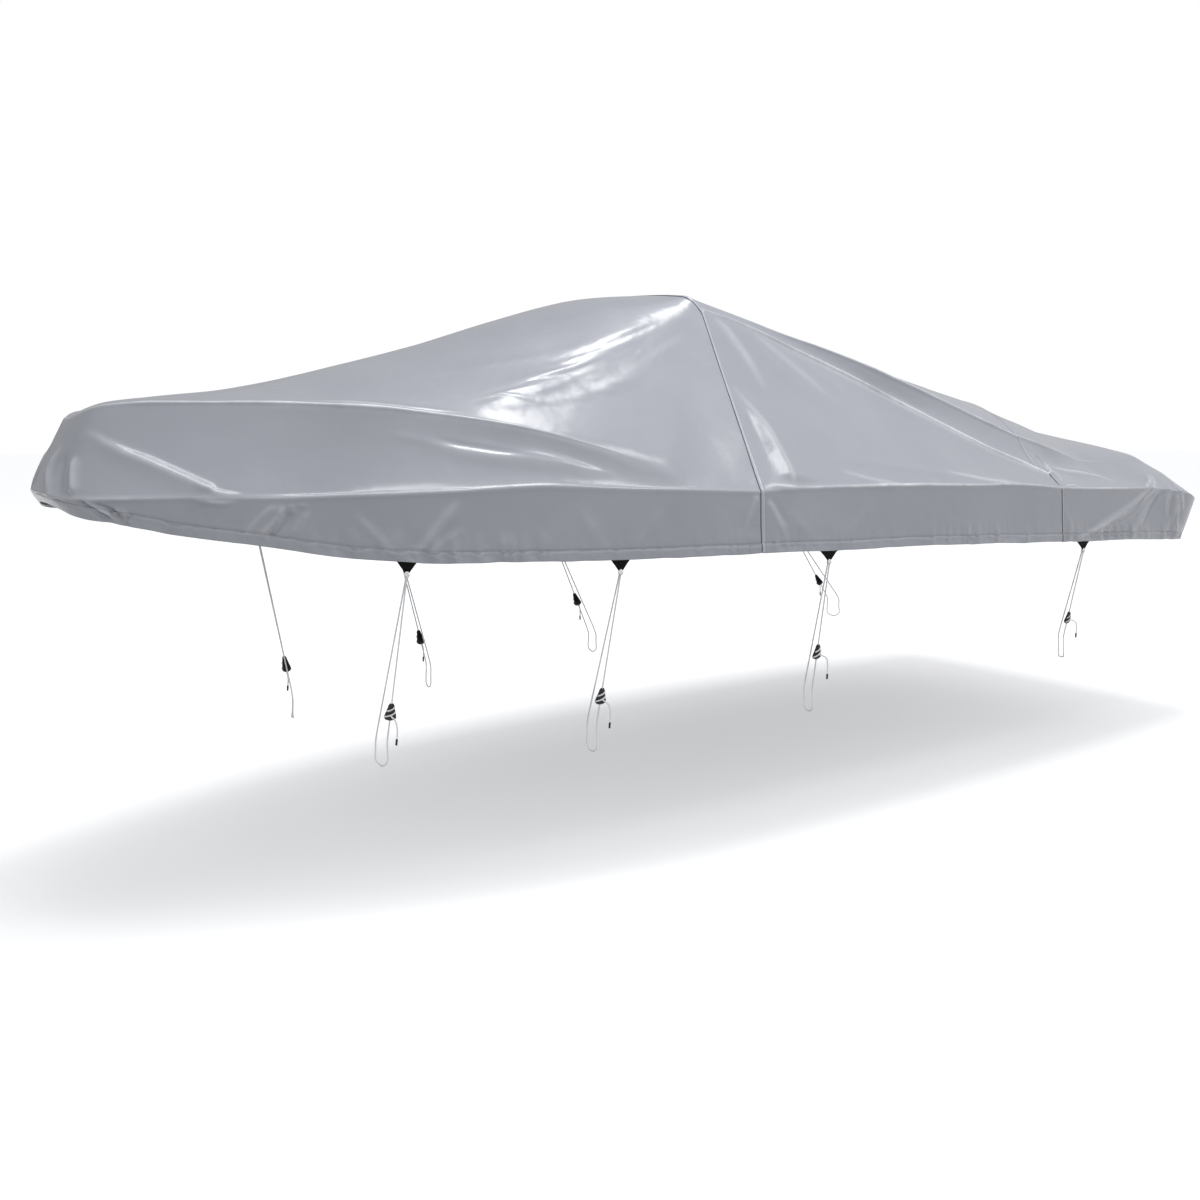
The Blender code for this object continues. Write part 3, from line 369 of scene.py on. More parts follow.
def creases(p, n, side):
    """How far each point stands out because of the folds near it, and how strong the painted highlight along the
    folds' ridges is there."""
    flat, nrm = p.reshape(-1, 3), n.reshape(-1, 3)
    out, highlight_paint = np.zeros(len(flat)), np.zeros(len(flat))
    for name, high, wide, fin, fout, keen, far, pts in CREASES:
        if side > 0:
            high = high * far * 0.7
        above, below = wide if isinstance(wide, tuple) else (wide, wide)
        line = np.array(pts)
        reach = max(max(above, below) * 3.2, 0.05)
        lo, hi = line.min(axis=0) - reach, line.max(axis=0) + reach
        near = np.where(np.all((flat > lo) & (flat < hi), axis=1))[0]
        if not len(near):
            continue
        q, m = flat[near], nrm[near]
        # a finer, smooth line through the points
        t = np.linspace(0, len(line) - 1, (len(line) - 1) * 5 + 1)
        fine = np.stack([np.interp(t, np.arange(len(line)), line[:, k]) for k in range(3)], 1)
        for _ in range(3):
            fine[1:-1] = 0.25 * fine[:-2] + 0.5 * fine[1:-1] + 0.25 * fine[2:]
        seg = np.diff(fine, axis=0)
        ln = np.linalg.norm(seg, axis=1)
        start = np.concatenate(([0], np.cumsum(ln)))
        total = start[-1]
        best = np.full(len(q), 1e9)
        where = np.zeros(len(q))
        hand = np.ones(len(q))
        for a, d, l, s0 in zip(fine[:-1], seg, ln, start):
            u = np.clip(((q - a) @ d) / max(l * l, 1e-12), 0, 1)
            away = q - (a + u[:, None] * d)
            off = (away * m).sum(axis=1)
            dist = np.sqrt(np.maximum((away**2).sum(axis=1) - 0.96 * off**2, 0.0))
            closer = dist < best
            best[closer] = dist[closer]
            where[closer] = (s0 + u[closer] * l) / total
            hand[closer] = np.sign((np.cross(d, away[closer]) * m[closer]).sum(axis=1))
        x = np.clip(where / max(fin, 1e-3), 0, 1)
        y = np.clip((1 - where) / max(fout, 1e-3), 0, 1)
        fade = x * x * (3 - 2 * x) * y * y * (3 - 2 * y)
        narrow = np.where(hand > 0, below, above) * (0.55 + 0.45 * fade)
        soft = np.exp(-((best / narrow) ** 2))
        e = np.minimum(narrow * 0.25, 0.0035)
        sharp = np.exp(-(np.sqrt(best**2 + e**2) - e) / (narrow * 0.60))
        out[near] += high * fade * ((1 - keen) * soft + keen * sharp)
        # painted highlight: a pale line along this fold's ridge, later mixed into the cloth's colour
        if name in FOLD_HIGHLIGHT_PAINT:
            much, half = FOLD_HIGHLIGHT_PAINT[name]
            highlight_paint[near] = np.maximum(highlight_paint[near], much * np.sqrt(fade) * np.exp(-((best / half) ** 2)))
    return out.reshape(p.shape[:2]), highlight_paint.reshape(p.shape[:2])


# Beads along the ridges, where the cloth is drawn tight over something round:
# ridge (0 crown's edge, 1 rail or hip, 2 gunwale), half width, (x, height).
BEADS = {
    "front_panel": [
        (1, 0.008, [(-0.2, 0.0010), (0.0, 0.0036), (0.1, 0.0066), (0.5, 0.0066), (1.0, 0.0056), (1.3, 0.0034), (1.6, 0.0012), (1.80, 0.0)]),
        (2, 0.009, [(-0.25, 0.0010), (-0.14, 0.0045), (0.0, 0.0055), (0.07, 0.0034), (0.27, 0.0022), (0.45, 0.0022), (0.55, 0.0045), (0.80, 0.0056), (1.06, 0.0050), (1.2, 0.0024), (1.6, 0.0022), (1.9, 0.0020), (2.34, 0.0024)]),
    ],
    "rear_panel": [
        (0, 0.010, [(2.34, 0.0), (2.6, 0.003), (3.0, 0.0070), (4.4, 0.0070)]),
        (1, 0.0095, [(2.34, 0.0), (2.5, 0.0040), (2.7, 0.0090), (3.2, 0.0120), (4.0, 0.0120), (4.25, 0.0100), (4.42, 0.0040)]),
        (2, 0.009, [(2.30, 0.0020), (2.42, 0.0030), (2.55, 0.0045), (3.0, 0.0056), (3.9, 0.0056), (4.2, 0.0045), (4.40, 0.0028)]),
    ],
    "stern_panel": [
        (0, 0.010, [(4.38, 0.0070), (4.7, 0.0040), (5.0, 0.0)]),
        (1, 0.0095, [(4.38, 0.0045), (4.5, 0.0)]),
        (2, 0.009, [(4.38, 0.0030), (4.6, 0.0048), (5.05, 0.0048), (5.3, 0.0015), (6.0, 0.0010)]),
    ],
}


def beads(name, grid, run, marks, along, seed):
    out = np.zeros(run.shape)
    for k, width, table in BEADS[name]:
        x = grid[:, marks[k], 0]
        t = np.array(table)
        high = np.interp(x, t[:, 0], t[:, 1])
        high = high * (1 + 0.22 * noise1(along * 3.1, seed + 21 + k) + 0.12 * noise1(along * 11.0, seed + 25 + k))
        d = run - run[:, marks[k]][:, None] - 0.0015 * noise1(along * 5.0, seed + 29 + k)[:, None]
        out += high[:, None] * np.exp(-((d / width) ** 2))
    return out


# Painted highlights along the ridges, pale lines mixed into the cloth's colour: ridge, half width, (x, how pale
# 0..1).
RIDGE_HIGHLIGHT_PAINT = {
    "front_panel": [
        (1, 0.0180, [(0.0, 0.0), (0.5, 0.22), (1.2, 0.26), (1.6, 0.10), (1.80, 0.0)]),
        (1, 0.0062, [(-0.2, 0.05), (0.0, 0.50), (0.4, 0.90), (0.8, 0.95), (1.1, 0.70), (1.35, 0.34), (1.6, 0.16), (1.80, 0.0)]),
        (2, 0.0048, [(-0.25, 0.0), (-0.14, 0.35), (0.1, 0.40), (0.3, 0.15), (0.50, 0.45), (0.92, 0.60), (1.12, 0.24), (1.35, 0.08), (2.34, 0.12)]),
    ],
    "rear_panel": [
        (0, 0.0070, [(2.34, 0.0), (2.7, 0.25), (3.2, 0.60), (4.4, 0.75)]),
        (1, 0.0110, [(2.36, 0.05), (2.6, 0.55), (3.0, 1.10), (4.0, 1.25), (4.42, 1.20)]),
        (1, 0.0300, [(2.50, 0.0), (2.9, 0.28), (3.4, 0.42), (4.2, 0.38), (4.42, 0.20)]),
        (2, 0.0048, [(2.34, 0.15), (2.55, 0.75), (3.0, 0.90), (3.6, 0.85), (4.1, 0.70), (4.40, 0.30)]),
    ],
    "stern_panel": [
        (0, 0.0070, [(4.38, 0.75), (4.7, 0.60), (5.2, 0.0)]),
        (1, 0.0060, [(4.38, 0.80), (4.43, 0.30), (4.50, 0.0)]),
        (2, 0.0038, [(4.38, 0.25), (4.55, 0.55), (5.0, 0.55), (5.3, 0.15), (6.0, 0.05)]),
    ],
}


# The painted highlight lines along a panel's ridges, 0..1, from the table above.
def painted_ridge_lines(name, grid, run, marks, along, seed):
    out = np.zeros(run.shape)
    for k, width, table in RIDGE_HIGHLIGHT_PAINT[name]:
        t = np.array(table)
        much = np.interp(grid[:, marks[k], 0], t[:, 0], t[:, 1])
        much = much * np.clip(0.80 + 0.30 * noise1(along * 7.0, seed + 41 + k) + 0.15 * noise1(along * 23.0, seed + 45 + k), 0, 1.2)
        d = run - run[:, marks[k]][:, None] - 0.0012 * noise1(along * 5.0, seed + 29 + k)[:, None]
        out = np.maximum(out, much[:, None] * np.exp(-((d / width) ** 2)))
    return np.clip(out, 0, 1)


def dress(name, grid, run, marks, side, seams, seed):
    """Folds, puckers, seam laps and hem on one side of a panel. grid is in the
    stations' frame with w positive; the side's sign is put on at the end."""
    n = normals(grid)
    out, highlight_paint = creases(grid, n, side)
    total = run[:, -1]
    down = total[:, None] - run                 # distance above the hem
    hem_step = np.linalg.norm(np.diff(grid[:, -1, :], axis=0), axis=1)
    along = np.concatenate(([0], np.cumsum(hem_step)))
    u = np.broadcast_to(along[:, None], run.shape)
    s0 = seed + (9 if side > 0 else 0)
    out = out + beads(name, grid, run, marks, along, s0)
    # slack in the broad faces
    big = noise2(grid[:, :, 0] * 2.6, run * 3.4, s0) * 0.0035 + noise2(grid[:, :, 0] * 6.1 + 7, run * 7.3, s0 + 1) * 0.0011
    edge = np.clip(down / 0.10, 0, 1)
    out = out + big * edge
    # skirt: long shallow waves hanging from the crease to the hem
    skirt = np.clip((run - run[:, marks[2]][:, None]) / np.maximum(total - run[:, marks[2]], 1e-3)[:, None], 0, 1)
    wave = noise1(u * 5.2 + 3 + 0.8 * noise1(down * 7.0, s0 + 17), s0 + 2) * 0.0034 + noise1(u * 12.5 + 1.2 * noise1(down * 9.0, s0 + 18), s0 + 3) * 0.0019
    out = out + wave * skirt**1.4
    # hem: stitched line with gathers, a slightly fuller band below it
    line = np.exp(-(((down - HEM) / 0.0048) ** 2))
    gather = noise1(u * 24.0 + noise1(u * 6.0, s0 + 5), s0 + 4)
    fine = noise1(u * 55.0, s0 + 6)
    calm = 0.35 + 0.65 * np.clip(noise1(u * 2.3, s0 + 7) + 0.55, 0, 1)
    tight = np.clip((grid[:, :, 0] + 0.02) / 0.20, 0.12, 1.0)
    calm = calm * tight
    band = np.clip(1 - np.abs(down - HEM * 0.55) / (HEM * 0.75), 0, 1)
    finer = noise1(u * 118.0 + noise1(down * 60.0, s0 + 15), s0 + 14)
    out = out + band * (gather * 0.0085 + fine * 0.0062 + finer * 0.0028) * calm
    up = np.clip(1 - np.abs(down - HEM * 1.6) / (HEM * 1.1), 0, 1)
    out = out + up * (gather * 0.0050 + fine * 0.0034 + finer * 0.0008) * calm
    out = out - line * 0.0034
    step = 1 / (1 + np.exp((down - HEM) / 0.002))
    out = out + step * 0.0010
    # seam laps: the cloth dips beside the strip, with small gathers
    for row, width in seams:
        show = 1.0 if width > 0.007 else np.clip((run - run[:, marks[1]][:, None] + 0.05) / 0.08, 0.1, 1)
        d = np.linalg.norm(grid - grid[row][None, :, :], axis=2)
        near = d < 0.09
        v = run[row][None, :] * np.ones((len(grid), 1))
        pull = noise1(v * 17.0, s0 + 11) * 0.0013 + noise1(v * 6.0, s0 + 12) * 0.0012
        out = out + np.where(near, pull * np.exp(-((d / 0.035) ** 2)) * np.clip((d - width) / 0.01, 0, 1), 0)
        out = out - 0.0020 * show * np.exp(-(((d - width) / 0.004) ** 2))
    p = grid + n * out[:, :, None]
    if side > 0 and name == "front_panel":
        slack = np.clip(grid[:, :, 1] / 0.15, 0, 1) * np.clip((0.22 - grid[:, :, 0]) / 0.20, 0, 1) * np.clip((grid[:, :, 2] - 1.58) / 0.16, 0, 1)
        p[:, :, 2] -= 0.021 * slack * slack * (3 - 2 * slack)
    # hem edge: a little uneven
    p[:, :, 2] += (noise1(u * 4.0, s0 + 8) * 0.0024 + noise1(u * 15.0, s0 + 9) * 0.0016) * np.clip(1 - down / 0.12, 0, 1)
    return p, n, highlight_paint


def turned_hem(p, n):
    """The hem's edge folded under and up behind the skirt."""
    edge = p[:, -1, :]
    up = p[:, -6, :] - edge
    up /= np.linalg.norm(up, axis=1)[:, None]
    nn = n[:, -1, :]
    nn = nn - (nn * up).sum(axis=1)[:, None] * up
    nn /= np.linalg.norm(nn, axis=1)[:, None]
    cols = []
    for back, rise in ((0.0010, -0.0011), (0.0026, -0.0009), (HEM_FOLD, 0.0012), (HEM_FOLD, 0.012), (HEM_FOLD, 0.026), (HEM_FOLD - 0.0006, HEM)):
        cols.append(edge - nn * back + up * rise)
    return np.concatenate((p, np.stack(cols, 1)), axis=1)


def row_frame(p, side):
    q = p.copy()
    q[..., 1] *= side
    return q - np.array(DATUM)


ROOT = []


def put(name, mesh, mat, smooth=True):
    o = bpy.data.objects.new(name, mesh)
    bpy.context.scene.collection.objects.link(o)
    mesh.materials.append(mat)
    if smooth:
        mesh.polygons.foreach_set("use_smooth", [True] * len(mesh.polygons))
    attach(o, "root")
    return o


def sheet_mesh(name, near, far, closed_start, closed_end, uv_near, uv_far, highlight_near, highlight_far):
    """One mesh from both sides' grids. The far side has half the columns. They
    share the centre line and, where the panel closes in the plane of symmetry,
    the first or last rib."""
    rows, cn = near.shape[:2]
    cf = far.shape[1]
    verts = [near.reshape(-1, 3)]
    idn = np.arange(rows * cn).reshape(rows, cn)
    uvs = [uv_near.reshape(-1, 2)]
    highlight_values = [highlight_near.reshape(-1)]
    idf = np.full((rows, cf), -1)
    idf[:, 0] = idn[:, 0]
    extra, extra_uv, extra_highlight, k = [], [], [], rows * cn
    for i in range(rows):
        shared = (closed_start and i == 0) or (closed_end and i == rows - 1)
        for j in range(1, cf):
            if shared:
                idf[i, j] = idn[i, 2 * j]
            else:
                idf[i, j] = k
                extra.append(far[i, j])
                extra_uv.append(uv_far[i, j])
                extra_highlight.append(highlight_far[i, j])
                k += 1
    verts = np.vstack((verts[0], np.array(extra)))
    uvs = np.vstack((uvs[0], np.array(extra_uv)))
    highlight_values = np.concatenate((highlight_values[0], np.array(extra_highlight)))
    faces = []
    a, b, c, d = idn[:-1, :-1], idn[1:, :-1], idn[1:, 1:], idn[:-1, 1:]
    faces += np.stack((a, d, c, b), -1).reshape(-1, 4).tolist()
    for i in range(rows - 1):
        first = closed_start and i == 0
        last = closed_end and i == rows - 2
        for j in range(cf - 1):
            a, b, c, d = idf[i, j], idf[i + 1, j], idf[i + 1, j + 1], idf[i, j + 1]
            if first:
                m = idn[0, 2 * j + 1]
                faces += [(a, b, m), (m, b, c), (m, c, d)]
            elif last:
                m = idn[-1, 2 * j + 1]
                faces += [(a, b, m), (a, m, d), (m, c, d)]
            else:
                faces.append((a, b, c, d))
    mesh = bpy.data.meshes.new(name)
    mesh.from_pydata(verts.tolist(), [], faces)
    layer = mesh.uv_layers.new(name="cloth_metres")
    loops = np.empty(len(mesh.loops), dtype=np.int32)
    mesh.loops.foreach_get("vertex_index", loops)
    layer.data.foreach_set("uv", uvs[loops].astype(np.float32).ravel())
    # the painted highlight's strength, kept on the mesh for the cloth material
    mesh.attributes.new("painted_highlight", "FLOAT", "POINT").data.foreach_set("value", highlight_values.astype(np.float32))
    mesh.update()
    mesh.validate()
    return mesh


def build_panel(name, table, pitch, counts, sigma, closed_start, closed_end, seams, seed):
    rows = np.array(table)
    steps = []
    for a, b in zip(rows[:-1], rows[1:]):
        gap = 0.0
        for cols in ((2, 3, 4), (5, 6, 7), (8, 9, 10), (11, 12, 13)):
            gap = max(gap, np.linalg.norm(b[list(cols)] - a[list(cols)]) * (0.8 if cols[0] < 8 else 1.0))
        steps.append(max(4, int(round(gap / pitch))))
    st = eased(interpolated(table, steps), pitch, sigma, closed_start, closed_end)
    if closed_start:
        st[0, WIDTHS] = 0.0
    if closed_end:
        st[-1, WIDTHS] = 0.0
    grid, run, marks = ribs(st, counts, True)
    half = {0: 0, len(st) - 1: len(st) - 1}
    sides, highlight_paint = {}, {}
    for side in (-1.0, 1.0):
        p, n, highlight_paint[side] = dress(name, grid, run, marks, side, seams, seed)
        p[:, 0, 1] = 0.0
        if closed_start:
            p[0, :, 1] = 0.0
        if closed_end:
            p[-1, :, 1] = 0.0
        sides[side] = (p, n)
    # the sides agree on the centre line and on a closed end
    pn, pf = sides[-1.0][0], sides[1.0][0]
    pf[:, 0] = pn[:, 0]
    blend = np.clip(np.arange(pn.shape[1]) / 10.0, 0, 1)[None, :, None]
    pf[:] = pn * (1 - blend) + pf * blend
    for closed, order in ((closed_start, range(0, 8)), (closed_end, range(len(st) - 1, len(st) - 9, -1))):
        if closed:
            for k, i in enumerate(order):
                w = min(1.0, k / 7.0)
                pf[i] = pn[i] * (1 - w) + pf[i] * w
    hn, hf = turned_hem(pn, sides[-1.0][1]), turned_hem(pf, sides[1.0][1])
    if closed_start:
        hn[0, :, 1] = hf[0, :, 1] = 0.0
        hf[0] = hn[0]
    if closed_end:
        hn[-1, :, 1] = hf[-1, :, 1] = 0.0
        hf[-1] = hn[-1]
    run_full = np.concatenate((run, run[:, -1:] + np.array([[0.001, 0.003, 0.005, 0.016, 0.03, 0.044]])), axis=1)
    hem_step = np.linalg.norm(np.diff(grid[:, -1, :], axis=0), axis=1)
    along = np.concatenate(([0], np.cumsum(hem_step)))
    uv = np.stack((np.broadcast_to(along[:, None], run_full.shape), run_full), -1)
    keep = np.arange(0, hn.shape[1], 2)
    if keep[-1] != hn.shape[1] - 1:
        raise SystemExit("the number of columns has to be odd: %d" % hn.shape[1])
    near, far = row_frame(hn, -1.0), row_frame(hf[:, keep], 1.0)
    ridges = painted_ridge_lines(name, grid, run, marks, along, seed)
    # painted highlights of the ridges and folds, for the mesh's attribute
    highlight_attr = {}
    for side in (-1.0, 1.0):
        highlight_attr[side] = np.zeros(run_full.shape)
        highlight_attr[side][:, : run.shape[1]] = np.maximum(ridges, highlight_paint[side])
    mesh = sheet_mesh(name, near, far, closed_start, closed_end, uv, uv[:, keep] * np.array((1, -1)), highlight_attr[-1.0], highlight_attr[1.0][:, keep])
    return mesh, pn, pf, sides[-1.0][1], sides[1.0][1], run, marks


# --------------------------------------------------------------- materials
class Nodes:
    def __init__(self, name):
        self.mat = bpy.data.materials.new(name)
        self.mat.use_nodes = True
        self.t = self.mat.node_tree
        self.bsdf = self.t.nodes["Principled BSDF"]

    def add(self, kind, **values):
        n = self.t.nodes.new(kind)
        for k, v in values.items():
            if k in n.inputs:
                n.inputs[k].default_value = v
            else:
                setattr(n, k, v)
        return n

    def link(self, a, b):
        self.t.links.new(a, b)

    def math(self, op, a, b=None):
        n = self.add("ShaderNodeMath", operation=op)
        for k, v in enumerate((a, b)):
            if v is None:
                continue
            if isinstance(v, (int, float)):
                n.inputs[k].default_value = v
            else:
                self.link(v, n.inputs[k])
        return n.outputs[0]

    def noise(self, vec, scale, detail=3.0, rough=0.5):
        n = self.add("ShaderNodeTexNoise", Scale=scale, Detail=detail, Roughness=rough)
        self.link(vec, n.inputs["Vector"])
        return n.outputs["Fac"]

    def ramp(self, fac, stops):
        n = self.add("ShaderNodeValToRGB")
        e = n.color_ramp.elements
        while len(e) < len(stops):
            e.new(0.5)
        for x, (pos, col) in zip(e, stops):
            x.position = pos
            x.color = (*col, 1.0)
        self.link(fac, n.inputs["Fac"])
        return n.outputs["Color"]

    def range(self, fac, lo, hi, a=0.0, b=1.0):
        n = self.add("ShaderNodeMapRange")
        n.inputs["From Min"].default_value = a
        n.inputs["From Max"].default_value = b
        n.inputs["To Min"].default_value = lo
        n.inputs["To Max"].default_value = hi
        self.link(fac, n.inputs["Value"])
        return n.outputs["Result"]

    def bump(self, height, distance, strength=1.0, after=None):
        n = self.add("ShaderNodeBump", Distance=distance, Strength=strength)
        self.link(height, n.inputs["Height"])
        if after is not None:
            self.link(after, n.inputs["Normal"])
        return n.outputs["Normal"]


CLOTH_DARK = (0.300, 0.310, 0.342)
CLOTH_LIGHT = (0.326, 0.336, 0.368)


def cloth_material(name, dark, light, rough=0.21):
    m = Nodes(name)
    obj = m.add("ShaderNodeTexCoord").outputs["Object"]
    uv = m.add("ShaderNodeUVMap", uv_map="cloth_metres").outputs["UV"]
    # plain weave under the coating, threads about 0.9 mm apart
    w1 = m.add("ShaderNodeTexWave", wave_type="BANDS", bands_direction="X", Scale=350.0, Distortion=0.0)
    w2 = m.add("ShaderNodeTexWave", wave_type="BANDS", bands_direction="Y", Scale=350.0, Distortion=0.0)
    m.link(uv, w1.inputs["Vector"])
    m.link(uv, w2.inputs["Vector"])
    weave = m.math("MULTIPLY", w1.outputs["Fac"], w2.outputs["Fac"])
    coat = m.noise(obj, 260.0, 2.0)
    crumple = m.noise(obj, 34.0, 3.0, 0.55)
    slack = m.noise(obj, 7.5, 2.0, 0.5)
    blot = m.noise(obj, 2.2, 4.0, 0.6)
    fleck = m.noise(obj, 900.0, 1.0)
    tone = m.math("ADD", m.math("MULTIPLY", blot, 0.92), m.math("MULTIPLY", fleck, 0.08))
    col = m.ramp(tone, [(0.30, dark), (0.70, light)])
    # painted highlight: the colour is mixed toward a pale grey along ridges and folds, by the mesh's attribute
    highlight_attr = m.add("ShaderNodeAttribute", attribute_name="painted_highlight").outputs["Fac"]
    highlight_paint = m.add("ShaderNodeMix", data_type="RGBA")
    m.link(m.math("MULTIPLY", highlight_attr, m.range(crumple, 0.75, 1.0, 0.35, 0.65)), highlight_paint.inputs[0])
    m.link(col, highlight_paint.inputs[6])
    highlight_paint.inputs[7].default_value = (0.74, 0.75, 0.78, 1.0)
    m.link(highlight_paint.outputs[2], m.bsdf.inputs["Base Color"])
    m.link(m.range(m.noise(obj, 5.0, 4.0, 0.6), rough - 0.04, rough + 0.06, 0.3, 0.7), m.bsdf.inputs["Roughness"])
    m.bsdf.inputs["IOR"].default_value = 1.5
    n = m.bump(slack, 0.010, 0.35)
    n = m.bump(crumple, 0.0008, 0.35, n)
    n = m.bump(coat, 0.00005, 0.3, n)
    n = m.bump(weave, 0.00002, 0.4, n)
    m.link(n, m.bsdf.inputs["Normal"])
    return m.mat


def webbing_material():
    m = Nodes("webbing_black_woven")
    obj = m.add("ShaderNodeTexCoord").outputs["Object"]
    w1 = m.add("ShaderNodeTexWave", wave_type="BANDS", bands_direction="X", Scale=210.0, Distortion=0.4)
    w2 = m.add("ShaderNodeTexWave", wave_type="BANDS", bands_direction="Z", Scale=260.0, Distortion=0.4)
    m.link(obj, w1.inputs["Vector"])
    m.link(obj, w2.inputs["Vector"])
    weave = m.math("MAXIMUM", w1.outputs["Fac"], w2.outputs["Fac"])
    fuzz = m.noise(obj, 900.0, 3.0)
    m.link(m.ramp(m.math("MULTIPLY", weave, fuzz), [(0.2, (0.0012, 0.0012, 0.0015)), (0.7, (0.006, 0.006, 0.007))]), m.bsdf.inputs["Base Color"])
    m.bsdf.inputs["Roughness"].default_value = 0.85
    m.bsdf.inputs["Specular IOR Level"].default_value = 0.15
    n = m.bump(weave, 0.0004, 0.8)
    m.link(m.bump(fuzz, 0.0002, 0.6, n), m.bsdf.inputs["Normal"])
    return m.mat


def cord_material():
    m = Nodes("cord_white_braid")
    obj = m.add("ShaderNodeTexCoord").outputs["Object"]
    w1 = m.add("ShaderNodeTexWave", wave_type="BANDS", bands_direction="DIAGONAL", Scale=150.0, Distortion=1.2)
    w2 = m.add("ShaderNodeTexWave", wave_type="BANDS", bands_direction="Z", Scale=190.0, Distortion=1.0)
    m.link(obj, w1.inputs["Vector"])
    m.link(obj, w2.inputs["Vector"])
    braid = m.math("MAXIMUM", w1.outputs["Fac"], w2.outputs["Fac"])
    dirt = m.noise(obj, 30.0, 4.0, 0.6)
    m.link(m.ramp(m.math("MULTIPLY", braid, m.range(dirt, 0.8, 1.1, 0.3, 0.7)), [(0.05, (0.80, 0.80, 0.81)), (0.6, (0.95, 0.95, 0.955))]), m.bsdf.inputs["Base Color"])
    m.bsdf.inputs["Roughness"].default_value = 0.65
    m.bsdf.inputs["Sheen Weight"].default_value = 0.2
    m.link(m.bump(braid, 0.0006, 0.8), m.bsdf.inputs["Normal"])
    return m.mat


def plastic_material():
    m = Nodes("lock_plastic_moulded")
    obj = m.add("ShaderNodeTexCoord").outputs["Object"]
    grain = m.noise(obj, 1400.0, 2.0)
    scuff = m.noise(obj, 60.0, 5.0, 0.65)
    m.link(m.ramp(scuff, [(0.35, (0.003, 0.003, 0.0035)), (0.7, (0.009, 0.009, 0.010))]), m.bsdf.inputs["Base Color"])
    m.link(m.range(scuff, 0.36, 0.55, 0.35, 0.7), m.bsdf.inputs["Roughness"])
    m.bsdf.inputs["Specular IOR Level"].default_value = 0.35
    m.link(m.bump(grain, 0.00012, 0.6), m.bsdf.inputs["Normal"])
    return m.mat


def thread_material(name="thread_grey", shade=1.0):
    m = Nodes(name)
    obj = m.add("ShaderNodeTexCoord").outputs["Object"]
    twist = m.add("ShaderNodeTexWave", wave_type="BANDS", bands_direction="DIAGONAL", Scale=500.0, Distortion=0.5)
    m.link(obj, twist.inputs["Vector"])
    m.link(m.ramp(twist.outputs["Fac"], [(0.0, (0.12 * shade, 0.125 * shade, 0.14 * shade)), (1.0, (0.20 * shade, 0.205 * shade, 0.22 * shade))]), m.bsdf.inputs["Base Color"])
    m.bsdf.inputs["Roughness"].default_value = 0.6
    m.link(m.bump(twist.outputs["Fac"], 0.0002, 0.6), m.bsdf.inputs["Normal"])
    return m.mat


CLOTH_MAT = cloth_material("coated_cloth", CLOTH_DARK, CLOTH_LIGHT)
# The seam strip's cloth is painted 1.28 times lighter than the panels: a painted highlight for the light its raised
# band catches.
STRIP_PAINTED_LIGHTER_MAT = cloth_material("seam_strip_cloth_painted_lighter", tuple(c * 1.28 for c in CLOTH_DARK), tuple(c * 1.28 for c in CLOTH_LIGHT), 0.28)
WEB_MAT = webbing_material()
CORD_MAT = cord_material()
LOCK_MAT = plastic_material()
THREAD_MAT = thread_material()
# A dark tube along the seam strip's fore edge: a painted shadow of the lap's edge, made from the thread material at
# 0.35 of its shade.
SEAM_EDGE_SHADOW_MAT = thread_material("seam_edge_painted_shadow", 0.35)

# ------------------------------------------------------------------ panels
PANELS = {
    # pitch, columns in each leg, smoothing, closed start, closed end
    "front_panel": (FRONT, 0.0095, (22, 30, 66, 38), 0.034, True, False, [(-1, STRIP_HALF)], 1),
    "rear_panel": (REAR, 0.0110, (22, 26, 60, 38), 0.060, False, False, [(0, STRIP_HALF), (-1, 0.006)], 2),
    "stern_panel": (STERN, 0.0110, (22, 26, 42, 38), 0.018, False, True, [(0, 0.006)], 3),
}
made = {}
for name, args in PANELS.items():
    made[name] = build_panel(name, *args)
    mesh = made[name][0]
    o = put("cloth_" + name, mesh, CLOTH_MAT)
    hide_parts(name)
    tri = sum(len(p.vertices) - 2 for p in mesh.polygons)
    print(name, "triangles", tri)


def mesh_from(name, verts, faces):
    mesh = bpy.data.meshes.new(name)
    mesh.from_pydata([tuple(float(c) for c in v) for v in verts], [], faces)
    mesh.update()
    return mesh


def swept(paths, dia, sides=8):
    """Vertices and faces of tubes along several paths, for one mesh."""
    verts, faces = [], []
    for path in paths:
        path = np.array(path)
        t = np.gradient(path, axis=0)
        t /= np.linalg.norm(t, axis=1)[:, None]
        ref = np.array((0.0, 0.0, 1.0)) if abs(t[0][2]) < 0.9 else np.array((1.0, 0.0, 0.0))
        u = np.cross(t[0], ref)
        u /= np.linalg.norm(u)
        base = len(verts)
        for i, p in enumerate(path):
            u = u - (u @ t[i]) * t[i]
            u /= np.linalg.norm(u)
            v = np.cross(t[i], u)
            for k in range(sides):
                a = 2 * math.pi * k / sides
                verts.append(p + (u * math.cos(a) + v * math.sin(a)) * dia / 2)
        n = len(path)
        for i in range(n - 1):
            for k in range(sides):
                j = (k + 1) % sides
                faces.append((base + i * sides + k, base + i * sides + j, base + (i + 1) * sides + j, base + (i + 1) * sides + k))
        faces.append(tuple(base + k for k in range(sides))[::-1])
        faces.append(tuple(base + (n - 1) * sides + k for k in range(sides)))
    return verts, faces


